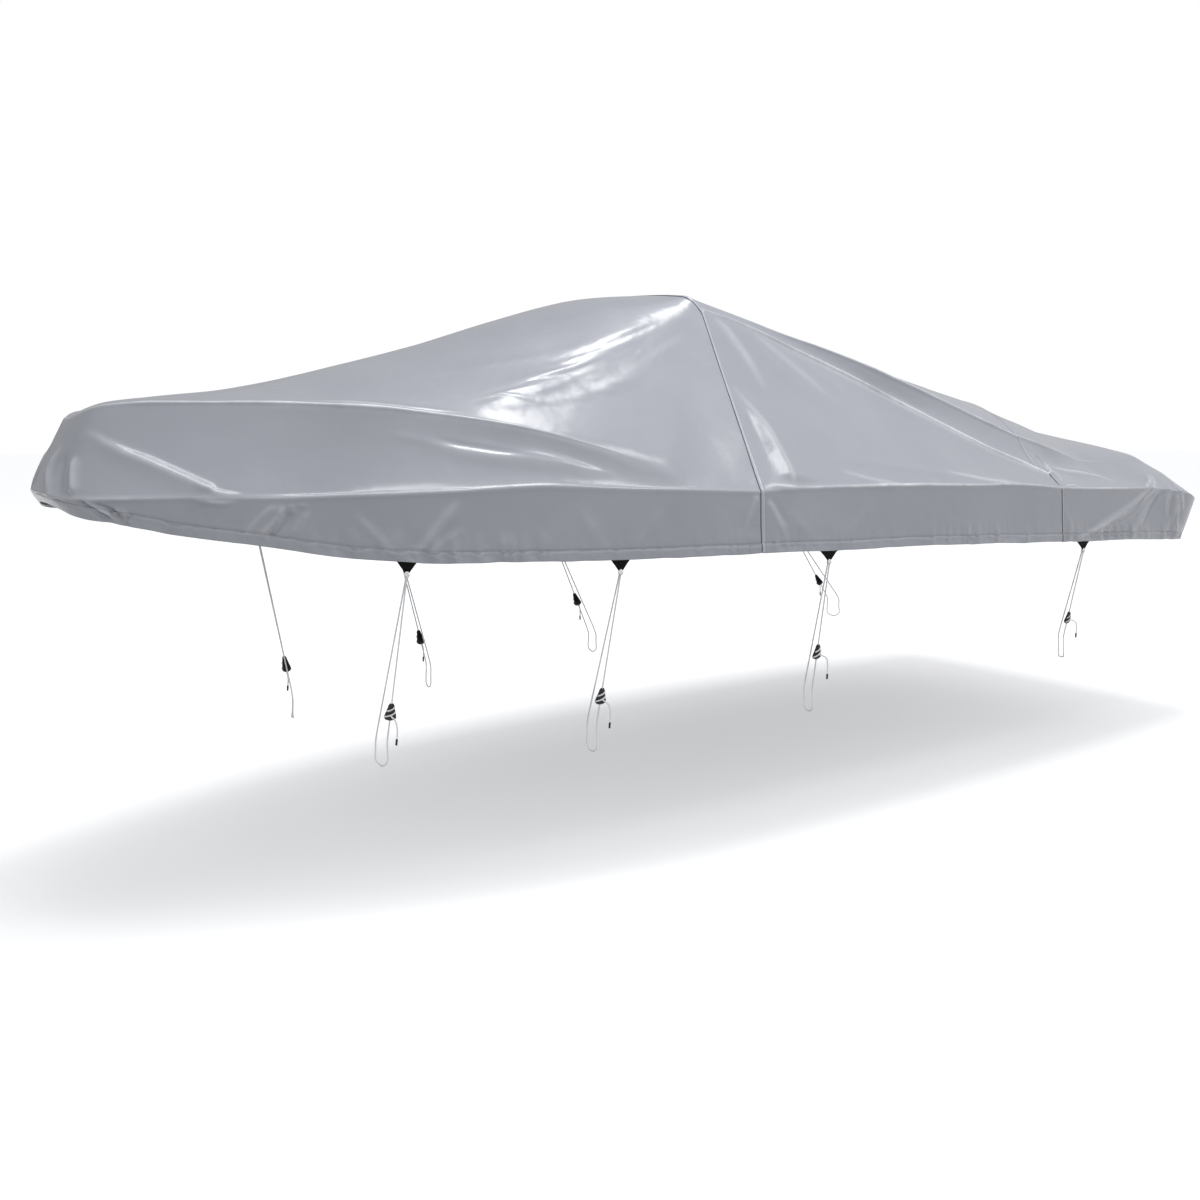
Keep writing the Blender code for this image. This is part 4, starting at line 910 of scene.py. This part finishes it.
# ------------------------------------------------------------------- seams
def strip_mesh(name, ahead, behind, run, half, lift):
    """A folded band over a seam, from a rib of the panel ahead to one of the
    panel behind: rows across the band, columns down the rib."""
    rows = []
    a_n, b_n = normals(ahead), normals(behind)

    def at(grid, nrm, row_from_end, dist):
        # point on the panel, dist metres from its end, along the rows
        seq = grid if row_from_end == 0 else grid[::-1]
        ns = nrm if row_from_end == 0 else nrm[::-1]
        step = np.linalg.norm(np.diff(seq[:6], axis=0), axis=2)
        acc = np.concatenate((np.zeros((1, step.shape[1])), np.cumsum(step, axis=0)))
        out = np.empty((seq.shape[1], 3))
        outn = np.empty((seq.shape[1], 3))
        for j in range(seq.shape[1]):
            for k in range(3):
                out[j, k] = np.interp(dist, acc[:, j], seq[:6, j, k])
                outn[j, k] = np.interp(dist, acc[:, j], ns[:6, j, k])
        return out, outn

    profile = [(-half, 0.0002), (-half + 0.0003, lift * 0.8), (-half + 0.0012, lift), (-half * 0.45, lift * 1.05), (0.0, lift), (half * 0.45, lift * 1.05), (half - 0.0012, lift), (half - 0.0003, lift * 0.8), (half, 0.0002)]
    for d, h in profile:
        if d < 0:
            p, n = at(ahead, a_n, -1, -d)
        else:
            p, n = at(behind, b_n, 0, d)
        rows.append(p + n * h)
    return np.array(rows)


def grid_mesh(name, near, far, flip=False):
    """A sheet from two mirror-side grids that share their first column."""
    rows, cols = near.shape[:2]
    verts = near.reshape(-1, 3).tolist() + far[:, 1:].reshape(-1, 3).tolist()
    idn = np.arange(rows * cols).reshape(rows, cols)
    idf = np.empty((rows, cols), dtype=int)
    idf[:, 0] = idn[:, 0]
    idf[:, 1:] = rows * cols + np.arange(rows * (cols - 1)).reshape(rows, cols - 1)
    faces = []
    for ids, turn in ((idn, True), (idf, False)):
        a, b, c, d = ids[:-1, :-1], ids[1:, :-1], ids[1:, 1:], ids[:-1, 1:]
        q = np.stack((a, d, c, b), -1) if turn else np.stack((a, b, c, d), -1)
        faces += q.reshape(-1, 4).tolist()
    mesh = bpy.data.meshes.new(name)
    mesh.from_pydata(verts, [], faces)
    layer = mesh.uv_layers.new(name="cloth_metres")
    co = np.array(verts)
    loops = np.empty(len(mesh.loops), dtype=np.int32)
    mesh.loops.foreach_get("vertex_index", loops)
    layer.data.foreach_set("uv", co[loops][:, (0, 2)].astype(np.float32).ravel())
    mesh.update()
    return mesh


def stitches(name, lines, length=0.0042, pitch=0.0068, dia=0.0011):
    """Rows of separate stitches along lines of (point, normal) on the cloth."""
    verts, faces = [], []
    for pts, nrm in lines:
        seg = np.linalg.norm(np.diff(pts, axis=0), axis=1)
        acc = np.concatenate(([0], np.cumsum(seg)))
        for s in np.arange(pitch, acc[-1] - pitch, pitch):
            a = np.array([np.interp(s, acc, pts[:, k]) for k in range(3)])
            b = np.array([np.interp(s + length, acc, pts[:, k]) for k in range(3)])
            n = np.array([np.interp(s, acc, nrm[:, k]) for k in range(3)])
            n /= max(np.linalg.norm(n), 1e-9)
            d = b - a
            d /= max(np.linalg.norm(d), 1e-9)
            w = np.cross(n, d)
            r = dia / 2
            base = len(verts)
            for c, lift in ((a, -0.3), ((a + b) / 2, 0.55), (b, -0.3)):
                for ca, cn in ((1, 0), (0, 1), (-1, 0)):
                    verts.append(c + w * r * ca + n * (r * cn + r * lift))
            for k in (0, 3):
                faces.append((base + k, base + k + 3, base + k + 4, base + k + 1))
                faces.append((base + k + 1, base + k + 4, base + k + 5, base + k + 2))
    mesh = bpy.data.meshes.new(name)
    mesh.from_pydata([tuple(v) for v in verts], [], faces)
    mesh.update()
    return mesh


def seam(name, ahead_name, behind_name, half, lift):
    a, b = made[ahead_name], made[behind_name]
    sides = []
    lines = []
    edges = []
    for k, side in ((1, -1.0), (2, 1.0)):
        ga, gb = a[k], b[k]
        # both panels' ribs, resampled to the same places down the seam
        ra, rb = a[5], b[5]
        want = np.unique(np.concatenate((np.linspace(0, 1, 150), ra[-1] / ra[-1][-1])))
        want = want[np.concatenate(([True], np.diff(want) > 0.002))]

        def again(grid, run_row):
            f = run_row / run_row[-1]
            out = np.empty((grid.shape[0], len(want), 3))
            for i in range(grid.shape[0]):
                for c in range(3):
                    out[i, :, c] = np.interp(want, f, grid[i, :, c])
            return out

        na = again(ga[-8:], ra[-1])
        nb = again(gb[:8], rb[0])
        rows = strip_mesh(name, na, nb, None, half, lift)
        rows[:, 0, 1] = 0.0
        rows[:, -1, :] += (rows[:, -2, :] - rows[:, -1, :]) * 0.3
        sides.append(row_frame(rows, side))
        for r in (2, -3):
            pts = row_frame(rows[r], side)
            nn = np.gradient(rows, axis=0)[4]
            nn = np.cross(nn, np.gradient(rows, axis=1)[4])
            nn /= np.maximum(np.linalg.norm(nn, axis=1), 1e-9)[:, None]
            nn[:, 1] *= side
            lines.append((pts, nn))
        # the strip's fore edge, where a dark tube paints the lap's shadow
        edge = row_frame(rows[0] + (rows[1] - rows[0]) * 0.4, side)[1:]
        edges.append(edge if half > 0.007 else edge[int(np.searchsorted(want, ra[-1][a[6][1]] / ra[-1][-1])) - 6 :])
    mesh = grid_mesh(name, sides[0], sides[1])
    v, f = swept([np.vstack((edges[0][::-1], edges[1]))] if half > 0.007 else edges, 0.0036, 6)
    put("seam_shadow_" + name, mesh_from("seam_shadow_" + name, v, f), SEAM_EDGE_SHADOW_MAT)
    o = put("band_" + name, mesh, STRIP_PAINTED_LIGHTER_MAT)
    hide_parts(name)
    return o, lines


main_band, main_lines = seam("main_seam_strip", "front_panel", "rear_panel", STRIP_HALF, 0.0024)
rear_band, rear_lines = seam("rear_seam_strip", "rear_panel", "stern_panel", 0.006, 0.0018)

hem_lines = []
for name in PANELS:
    mesh, pn, pf, nn, nf, run, marks = made[name]
    for p, n, side in ((pn, nn, -1.0), (pf, nf, 1.0)):
        down = run[:, -1][:, None] - run
        pts, nrm = [], []
        for i in range(len(p)):
            f = down[i][::-1]
            pts.append([np.interp(HEM + 0.001, f, p[i, ::-1, k]) for k in range(3)])
            nrm.append([np.interp(HEM + 0.001, f, n[i, ::-1, k]) for k in range(3)])
        nrm = np.array(nrm) * np.array((1, side, 1))
        hem_lines.append((row_frame(np.array(pts), side), nrm))
put("stitching_hem", stitches("stitching_hem", hem_lines), THREAD_MAT)
put("stitching_seams", stitches("stitching_seams", main_lines + rear_lines), THREAD_MAT)


# -------------------------------------------------------------------- ties
def unit(v):
    v = np.array(v, dtype=float)
    return v / np.linalg.norm(v)


def coarse_rows():
    rows = []
    for table, steps in ((FRONT, (1, 1, 2, 2, 2, 2, 2, 2, 2, 2, 2, 2)), (REAR, (1, 2, 2, 2, 2, 2)), (STERN, (2, 2, 1, 2, 1, 1, 1, 1))):
        for s in interpolated(table, steps):
            d = dict(zip(COLUMNS, s))
            g = np.array((d["gx"], d["gw"], d["gz"]))
            h = np.array((d["hx"], d["hw"], d["hz"]))
            rows.append(((g + h) / 2, h))
    return rows


COARSE = coarse_rows()


def hem_at(x):
    for lo, hi in zip(COARSE, COARSE[1:]):
        a, b = lo[1], hi[1]
        if a[1] > 0.3 and a[0] <= x <= b[0] and b[0] > a[0]:
            t = (x - a[0]) / (b[0] - a[0])
            return a + (b - a) * t, lo[0] + (hi[0] - lo[0]) * t, (b - a) / np.linalg.norm(b - a)
    raise ValueError("no hem there")


def bend(points, spacing):
    p = [np.array(q, dtype=float) for q in points]
    p = [2 * p[0] - p[1]] + p + [2 * p[-1] - p[-2]]
    out = []
    for i in range(1, len(p) - 2):
        a, b, c, d = p[i - 1 : i + 3]
        t0 = 0.0
        t1 = t0 + math.sqrt(np.linalg.norm(b - a))
        t2 = t1 + math.sqrt(np.linalg.norm(c - b))
        t3 = t2 + math.sqrt(np.linalg.norm(d - c))
        k = max(1, int(round(np.linalg.norm(c - b) / spacing)))
        for j in range(k):
            t = t1 + (t2 - t1) * j / k
            a1 = a * (t1 - t) / (t1 - t0) + b * (t - t0) / (t1 - t0)
            a2 = b * (t2 - t) / (t2 - t1) + c * (t - t1) / (t2 - t1)
            a3 = c * (t3 - t) / (t3 - t2) + d * (t - t2) / (t3 - t2)
            b1 = a1 * (t2 - t) / (t2 - t0) + a2 * (t - t0) / (t2 - t0)
            b2 = a2 * (t3 - t) / (t3 - t1) + a3 * (t - t1) / (t3 - t1)
            out.append(b1 * (t2 - t) / (t2 - t1) + b2 * (t - t1) / (t2 - t1))
    out.append(p[-2])
    return out


def length_of(points):
    p = np.array(points)
    return float(np.linalg.norm(np.diff(p, axis=0), axis=1).sum())


def tube(name, points, dia, mat, sides=3):
    """points in the row frame."""
    curve = bpy.data.curves.new(name, "CURVE")
    curve.dimensions = "3D"
    curve.bevel_depth = dia / 2
    curve.bevel_resolution = sides
    curve.use_fill_caps = True
    spline = curve.splines.new("POLY")
    spline.points.add(len(points) - 1)
    for p, q in zip(spline.points, points):
        p.co = (*[float(c) for c in q], 1.0)
    curve.materials.append(mat)
    o = bpy.data.objects.new(name, curve)
    bpy.context.scene.collection.objects.link(o)
    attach(o, "root")
    return o


def turned(name, points, radii, sides=20):
    """A closed round piece along a straight run of points."""
    pts = [np.array(q, dtype=float) for q in points]
    way = unit(pts[-1] - pts[0])
    one = unit(np.cross(way, (0.3, 0.9, 0.2)))
    two = np.cross(way, one)
    verts, faces = [], []
    for q, r in zip(pts, radii):
        for k in range(sides):
            a = 2 * math.pi * k / sides
            verts.append(q + one * (r * math.cos(a)) + two * (r * math.sin(a)))
    for i in range(len(pts) - 1):
        for k in range(sides):
            m = (k + 1) % sides
            faces.append((i * sides + k, i * sides + m, (i + 1) * sides + m, (i + 1) * sides + k))
    faces.append(tuple(reversed(range(sides))))
    faces.append(tuple(range((len(pts) - 1) * sides, len(pts) * sides)))
    return mesh_from(name, verts, faces)


def tab_mesh(name, foot, up, along, normal, flip, wide):
    """Webbing folded into a wedge: wide at the hem, its edges rolled in, with a
    small sag between its two sides."""
    inner = foot - normal * (CLOTH + GAP + 0.0016)
    rows, cols = 14, 17
    total = TAB_LAP + TAB_DROP
    verts, faces = [], []
    for layer in (0, 1):
        for i in range(rows):
            s = i / (rows - 1)
            d = s * total
            below = max(0.0, d - TAB_LAP) / TAB_DROP
            half = wide / 2 + (TAB_FOOT - wide) / 2 * below
            for j in range(cols):
                f = 2 * j / (cols - 1) - 1
                edge = abs(f) ** 6
                out = 0.0011 * edge * (1 if d > TAB_LAP else 0) + 0.0007 * math.sin(below * 7 + f * 2.3) * (below > 0)
                belly = -0.0010 * (1 - f * f) * min(1.0, below * 3)
                thick = TAB_THICK * (1 - 0.25 * edge) + 0.0010 * max(0.0, (below - 0.78) / 0.22)
                p = inner + up * (TAB_LAP - d) + along * (half * f) + normal * (out + belly)
                verts.append((p - normal * (thick if layer else 0.0)) * flip - np.array(DATUM))
    k = rows * cols
    for i in range(rows - 1):
        for j in range(cols - 1):
            a, b, c, d = i * cols + j, i * cols + j + 1, (i + 1) * cols + j + 1, (i + 1) * cols + j
            faces.append((a, d, c, b))
            faces.append((a + k, b + k, c + k, d + k))
    rim = [j for j in range(cols)] + [i * cols + cols - 1 for i in range(1, rows)]
    rim += [(rows - 1) * cols + j for j in range(cols - 2, -1, -1)] + [i * cols for i in range(rows - 2, 0, -1)]
    for a, b in zip(rim, rim[1:] + rim[:1]):
        faces.append((a, b, b + k, a + k))
    return mesh_from(name, verts, faces)


def lock_mesh(name, top, axis, across, out, flip):
    """A moulded cord lock: a pear body with a flange round its foot, a groove between its halves and a shallow hollow
    pressed into its face."""
    profile = (
        (0.00, 0.00), (0.00, 0.12), (0.012, 0.165), (0.05, 0.19), (0.11, 0.235), (0.13, 0.262), (0.16, 0.268), (0.18, 0.25),
        (0.26, 0.285), (0.36, 0.325), (0.46, 0.362), (0.56, 0.405), (0.66, 0.450), (0.72, 0.478), (0.735, 0.462), (0.76, 0.462),
        (0.775, 0.492), (0.82, 0.500), (0.87, 0.480), (0.92, 0.425), (0.96, 0.335), (0.985, 0.235), (1.00, 0.12), (1.00, 0.0),
    )
    sides = 28
    verts, faces = [], []
    for down, half in profile:
        centre = top + axis * (LOCK_LONG * down)
        for k in range(sides):
            a = 2 * math.pi * k / sides
            ca, sa = math.cos(a), math.sin(a)
            # squarer than an ellipse, with a parting groove at its two edges
            e = 0.86
            ca2, sa2 = math.copysign(abs(ca) ** e, ca), math.copysign(abs(sa) ** e, sa)
            w = LOCK_WIDE * half * ca2 * (1 - 0.05 * (abs(sa) < 0.05))
            press = 1.0
            if sa > 0 and 0.20 < down < 0.62:
                press = 1.0 - 0.10 * math.exp(-((ca / 0.45) ** 2)) * math.sin((down - 0.20) / 0.42 * math.pi)
            verts.append((centre + across * w + out * (LOCK_DEEP * half * sa2 * press)) * flip - np.array(DATUM))
    rings = len(profile)
    for i in range(rings - 1):
        for k in range(sides):
            j = (k + 1) % sides
            q = (i * sides + k, i * sides + j, (i + 1) * sides + j, (i + 1) * sides + k)
            faces.append(q)
    mesh = mesh_from(name, verts, faces)
    import bmesh
    bm = bmesh.new()
    bm.from_mesh(mesh)
    bmesh.ops.remove_doubles(bm, verts=bm.verts, dist=1e-6)
    bmesh.ops.recalc_face_normals(bm, faces=bm.faces)
    bm.to_mesh(mesh)
    bm.free()
    return mesh


def tie(row, side, side_name):
    t = dict(zip(TIE_COLUMNS, row))
    tag = f"{side_name}_{t['name']}"
    flip = np.array((1.0, side, 1.0))

    def here(points):
        return [np.array(p) * flip - np.array(DATUM) for p in points]

    foot, above, along = hem_at(t["x"])
    up = unit(above - foot)
    normal = unit(np.cross(along, up))
    if normal[1] < 0:
        normal = -normal
    inner = foot - normal * (CLOTH + GAP + 0.0016)
    foot_c = inner - up * TAB_DROP
    tab = put(f"webbing_{tag}", tab_mesh(f"webbing_{tag}", foot, up, along, normal, flip, t["wide"]), WEB_MAT)
    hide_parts(f"tab_{tag}")

    eye = foot_c - normal * (TAB_THICK / 2) - up * (GAP + CORD_D / 2 + 0.0002)
    apart = normal * (CORD_D * 0.62) + along * 0.0006
    r = CORD_D / 2
    clear = r + 0.001
    front = np.array((t["rx"], t["rw"] + clear, t["rz"]))
    low_front = np.array((t["rx"], t["rw"] + clear, t["rz"] + 0.012))
    under = np.array(((t["rx"] + t["bx"]) / 2, t["rw"] - RAIL_WIDE / 2, t["rz"] - clear))
    low_back = np.array((t["bx"], t["rw"] - RAIL_WIDE - clear, t["rz"] + 0.012))
    top_back = np.array((t["bx"], t["rw"] - RAIL_WIDE - clear, t["bz"]))
    front_top = np.array((t["rx"], t["rw"] + clear, t["bz"]))

    lead_from = eye + apart
    run = front_top - lead_from
    whole = front - lead_from
    axis = unit(run)
    reach = abs(whole[2]) * t["lock"] / abs(axis[2])
    lock_top = lead_from + axis * reach
    lead = here([lead_from + (lock_top - lead_from) * f - axis * (GAP if f == 1 else 0.0) for f in np.linspace(0, 1, 12)])
    across = unit(np.cross(axis, normal))
    outward = unit(np.cross(across, axis))
    lock = put(f"lockbody_{tag}", lock_mesh(f"lockbody_{tag}", lock_top, axis, across, outward, flip), LOCK_MAT)
    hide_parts(f"lock_{tag}")
    lock_foot = lock_top + axis * LOCK_LONG

    loop_from = eye - apart
    q = under + np.array((0, 0.010, 0))
    p = under - np.array((0, 0.010, 0))
    rounded = bend([top_back + unit(loop_from - top_back) * 0.04, top_back - np.array((0, 0, 0.012)),
                    (top_back + low_back) / 2, low_back, p, q, low_front, front_top - np.array((0, 0, 0.01)),
                    front_top + unit(lock_foot - front_top) * 0.03], 0.010)
    first = [loop_from + (rounded[0] - loop_from) * f for f in np.linspace(0, 1, 9)[:-1]]
    last = [rounded[-1] + (lock_foot + axis * GAP - rounded[-1]) * f for f in np.linspace(0, 1, 5)[1:]]
    loop = here(first + rounded + last)

    side_dir = unit((1.0, 0.0, 0.0) - axis * axis[0])
    start = lock_top + axis * (LOCK_LONG * 0.62) + outward * (LOCK_DEEP * 0.43 + GAP + 0.0012)
    out1 = start + outward * 0.010 + side_dir * 0.004
    knee = start + outward * 0.014 + side_dir * t["tx"] * 0.6 + np.array((0, 0, -0.016))
    end = start + outward * 0.010 + side_dir * t["tx"] * 0.8 + np.array((0, 0, t["tz"]))
    mid = knee * 0.45 + end * 0.55 + side_dir * 0.005
    tail = bend([start, out1, knee, mid, end], 0.004)
    way = unit(tail[-1] - tail[-2])
    tip = here([tail[-1] + way * (GAP + d * TIP_LONG) for d in (0.0, 0.04, 0.12, 0.5, 0.86, 0.96, 1.0)])
    tail = here(tail)

    tipo = put(f"tip_{tag}", turned(f"tip_{tag}", tip, [TIP_D / 2 * f for f in (0.72, 0.95, 1.0, 0.97, 0.95, 0.85, 0.5)]), LOCK_MAT)
    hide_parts(f"cord_tip_{tag}")

    lead_o = tube(f"lead_{tag}", lead, CORD_D, CORD_MAT)
    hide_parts(f"cord_lead_{tag}")
    loop_o = tube(f"loop_{tag}", loop, CORD_D, CORD_MAT)
    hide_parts(f"cord_loop_{tag}")
    tail_o = tube(f"tail_{tag}", tail, CORD_D, CORD_MAT)
    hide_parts(f"cord_tail_{tag}")

    # The hitch at the tab's foot: turns round both parts, and a loop through it.
    paths = []
    centre = eye + up * 0.001
    for k, (drop, ra) in enumerate(((0.0005, 0.0062), (-0.0040, 0.0068), (-0.0085, 0.0060))):
        ring = []
        for i in range(23):
            a = 2 * math.pi * i / 20
            tilt = 0.0016 * math.sin(a + k)
            ring.append(centre + up * (drop + tilt) + normal * (ra * 1.05 * math.cos(a)) + along * (ra * math.sin(a)))
        paths.append(here(ring))
    eyelet = []
    for i in range(19):
        a = math.pi * (-0.15 + 1.3 * i / 18)
        eyelet.append(eye + along * (0.0075 * math.cos(a)) + up * (0.0090 * math.sin(a) - 0.001) + normal * 0.0042)
    paths.append(here(eyelet))
    v, f = swept(paths, CORD_D * 0.92, 8)
    knot = put(f"hitch_{tag}", mesh_from(f"hitch_{tag}", v, f), CORD_MAT)

    # The cord's turns that show over the lock's face.
    wraps = []
    for lo, hi, slant in ((0.30, 0.30, -0.30), (0.60, 0.60, -0.34)):
        path = []
        for i in range(15):
            g = -1 + 2 * i / 14
            down = lo + slant * g * 0.5
            half = np.interp(down, (0.0, 0.11, 0.26, 0.46, 0.66, 0.82, 1.0), (0.16, 0.235, 0.285, 0.362, 0.450, 0.500, 0.12))
            a = math.pi / 2 - g * math.pi / 2 * 0.93
            path.append(lock_top + axis * (LOCK_LONG * down) + across * (LOCK_WIDE * half * 1.03 * math.cos(a)) + outward * (LOCK_DEEP * half * math.sin(a) + CORD_D * 0.30))
        wraps.append(here(path))
    v, f = swept(wraps, CORD_D * 0.9, 8)
    wrap = put(f"wrap_{tag}", mesh_from(f"wrap_{tag}", v, f), CORD_MAT)

    return length_of(lead), length_of(loop), length_of(tail)


for row in TIES:
    for side, side_name in ((-1.0, "near"), (1.0, "far")):
        print(side_name, row[0], ["%.3f" % v for v in tie(row, side, side_name)])

# ------------------------------------------------------------ floor, light
FLOOR_Z = -2.284


def floor_material():
    m = Nodes("studio_floor")
    obj = m.add("ShaderNodeTexCoord").outputs["Object"]
    m.link(m.ramp(m.noise(obj, 1.5, 4.0), [(0.3, (0.885, 0.885, 0.885)), (0.7, (0.90, 0.90, 0.90))]), m.bsdf.inputs["Base Color"])
    m.bsdf.inputs["Roughness"].default_value = 0.9
    m.bsdf.inputs["Specular IOR Level"].default_value = 0.2
    m.bsdf.inputs["Emission Color"].default_value = (1.0, 1.0, 1.0, 1.0)
    m.bsdf.inputs["Emission Strength"].default_value = 0.30
    return m.mat


floor_mesh = bpy.data.meshes.new("floor")
S = 60.0
floor_mesh.from_pydata([(-S, -S, FLOOR_Z), (S, -S, FLOOR_Z), (S, S, FLOOR_Z), (-S, S, FLOOR_Z)], [], [(0, 1, 2, 3)])
floor = bpy.data.objects.new("floor", floor_mesh)
floor_mesh.materials.append(floor_material())
floor.visible_diffuse = False
bpy.context.scene.collection.objects.link(floor)

world = bpy.data.worlds.new("studio")
bpy.context.scene.world = world
world.use_nodes = True
wt = world.node_tree
for n in list(wt.nodes):
    wt.nodes.remove(n)
out = wt.nodes.new("ShaderNodeOutputWorld")
coord = wt.nodes.new("ShaderNodeTexCoord")


def world_dot(axis):
    n = wt.nodes.new("ShaderNodeVectorMath")
    n.operation = "DOT_PRODUCT"
    n.inputs[1].default_value = axis
    wt.links.new(coord.outputs["Generated"], n.inputs[0])
    return n.outputs["Value"]


def world_range(value, lo, hi, to_lo, to_hi):
    n = wt.nodes.new("ShaderNodeMapRange")
    n.interpolation_type = "SMOOTHSTEP"
    for key, v in (("From Min", lo), ("From Max", hi), ("To Min", to_lo), ("To Max", to_hi)):
        n.inputs[key].default_value = v
    wt.links.new(value, n.inputs["Value"])
    return n.outputs["Result"]


def world_math(op, p, q):
    n = wt.nodes.new("ShaderNodeMath")
    n.operation = op
    for k, v in enumerate((p, q)):
        if isinstance(v, float):
            n.inputs[k].default_value = v
        else:
            wt.links.new(v, n.inputs[k])
    return n.outputs[0]


height = world_math("MULTIPLY_ADD", world_dot((0.0, 0.0, 1.0)), 0.5)
height.node.inputs[2].default_value = 0.5
ramp = wt.nodes.new("ShaderNodeValToRGB")
stops = [(0.00, 0.32), (0.47, 0.36), (0.52, 0.80), (0.57, 0.98), (0.70, 0.96), (0.84, 0.63), (1.00, 0.40)]
e = ramp.color_ramp.elements
while len(e) < len(stops):
    e.new(0.5)
for x, (pos, v) in zip(e, stops):
    x.position = pos
    x.color = (v, v, v, 1.0)
wt.links.new(height, ramp.inputs["Fac"])
near = world_range(world_dot((0.25, -0.968, 0.0)), -1.0, 1.0, 0.40, 1.06)
total = world_math("MULTIPLY", ramp.outputs["Color"], near)
# large soft panels round the room: azimuth, height above the horizon, half angle, strength
PANELS_OF_LIGHT = [(-165, 20, 50, 0.46), (-60, 20, 45, 0.30), (140, 30, 50, 0.14), (-50, 55, 36, 0.34), (10, 75, 32, 0.95)]
for az, el, half, strength in PANELS_OF_LIGHT:
    az, el = math.radians(az), math.radians(el)
    axis = (math.cos(el) * math.cos(az), math.cos(el) * math.sin(az), math.sin(el))
    total = world_math("ADD", total, world_range(world_dot(axis), math.cos(math.radians(half)), 1.0, 0.0, strength))
soft = wt.nodes.new("ShaderNodeBackground")
soft.inputs["Color"].default_value = (0.985, 0.995, 1.02, 1.0)
wt.links.new(total, soft.inputs["Strength"])
white = wt.nodes.new("ShaderNodeBackground")
white.inputs["Color"].default_value = (1.0, 1.0, 1.0, 1.0)
white.inputs["Strength"].default_value = 1.0
seen = wt.nodes.new("ShaderNodeLightPath")
mix = wt.nodes.new("ShaderNodeMixShader")
wt.links.new(seen.outputs["Is Camera Ray"], mix.inputs[0])
wt.links.new(soft.outputs[0], mix.inputs[1])
wt.links.new(white.outputs[0], mix.inputs[2])
wt.links.new(mix.outputs[0], out.inputs["Surface"])


def area_light(name, place, target, size, power, colour=(1, 1, 1)):
    """place and target in the row frame."""
    from mathutils import Vector
    data = bpy.data.lights.new(name, "AREA")
    data.shape = "RECTANGLE"
    data.size, data.size_y = size
    data.energy = power
    data.color = colour
    o = bpy.data.objects.new(name, data)
    o.location = place
    o.rotation_euler = (Vector(target) - Vector(place)).to_track_quat("-Z", "Y").to_euler()
    bpy.context.scene.collection.objects.link(o)
    return o


area_light("overhead", (2.86, -0.62, 11.18), (-0.45, -0.62, -0.35), (3.55, 3.55), 520.0)
area_light("flank", (0.70, -2.18, 1.31), (0.25, -0.95, -0.70), (1.1, 0.30), 11.0)
area_light("overhead_long", (-1.8, -0.9, 5.1), (-1.6, -0.7, -0.7), (3.4, 1.0), 80.0)

# ------------------------------------------------------------------ camera
cam_data = bpy.data.cameras.new("camera")
cam_data.sensor_width = 36.0
cam_data.lens = 35.1
cam_data.shift_y = -0.15
cam = bpy.data.objects.new("camera", cam_data)
cam.location = (-3.208, -4.490, -0.569)
from mathutils import Vector
cam.rotation_euler = Vector((0.588, 0.809, 0.0)).to_track_quat("-Z", "Y").to_euler()
bpy.context.scene.collection.objects.link(cam)
bpy.context.scene.camera = cam
bpy.context.scene.view_settings.view_transform = "Standard"
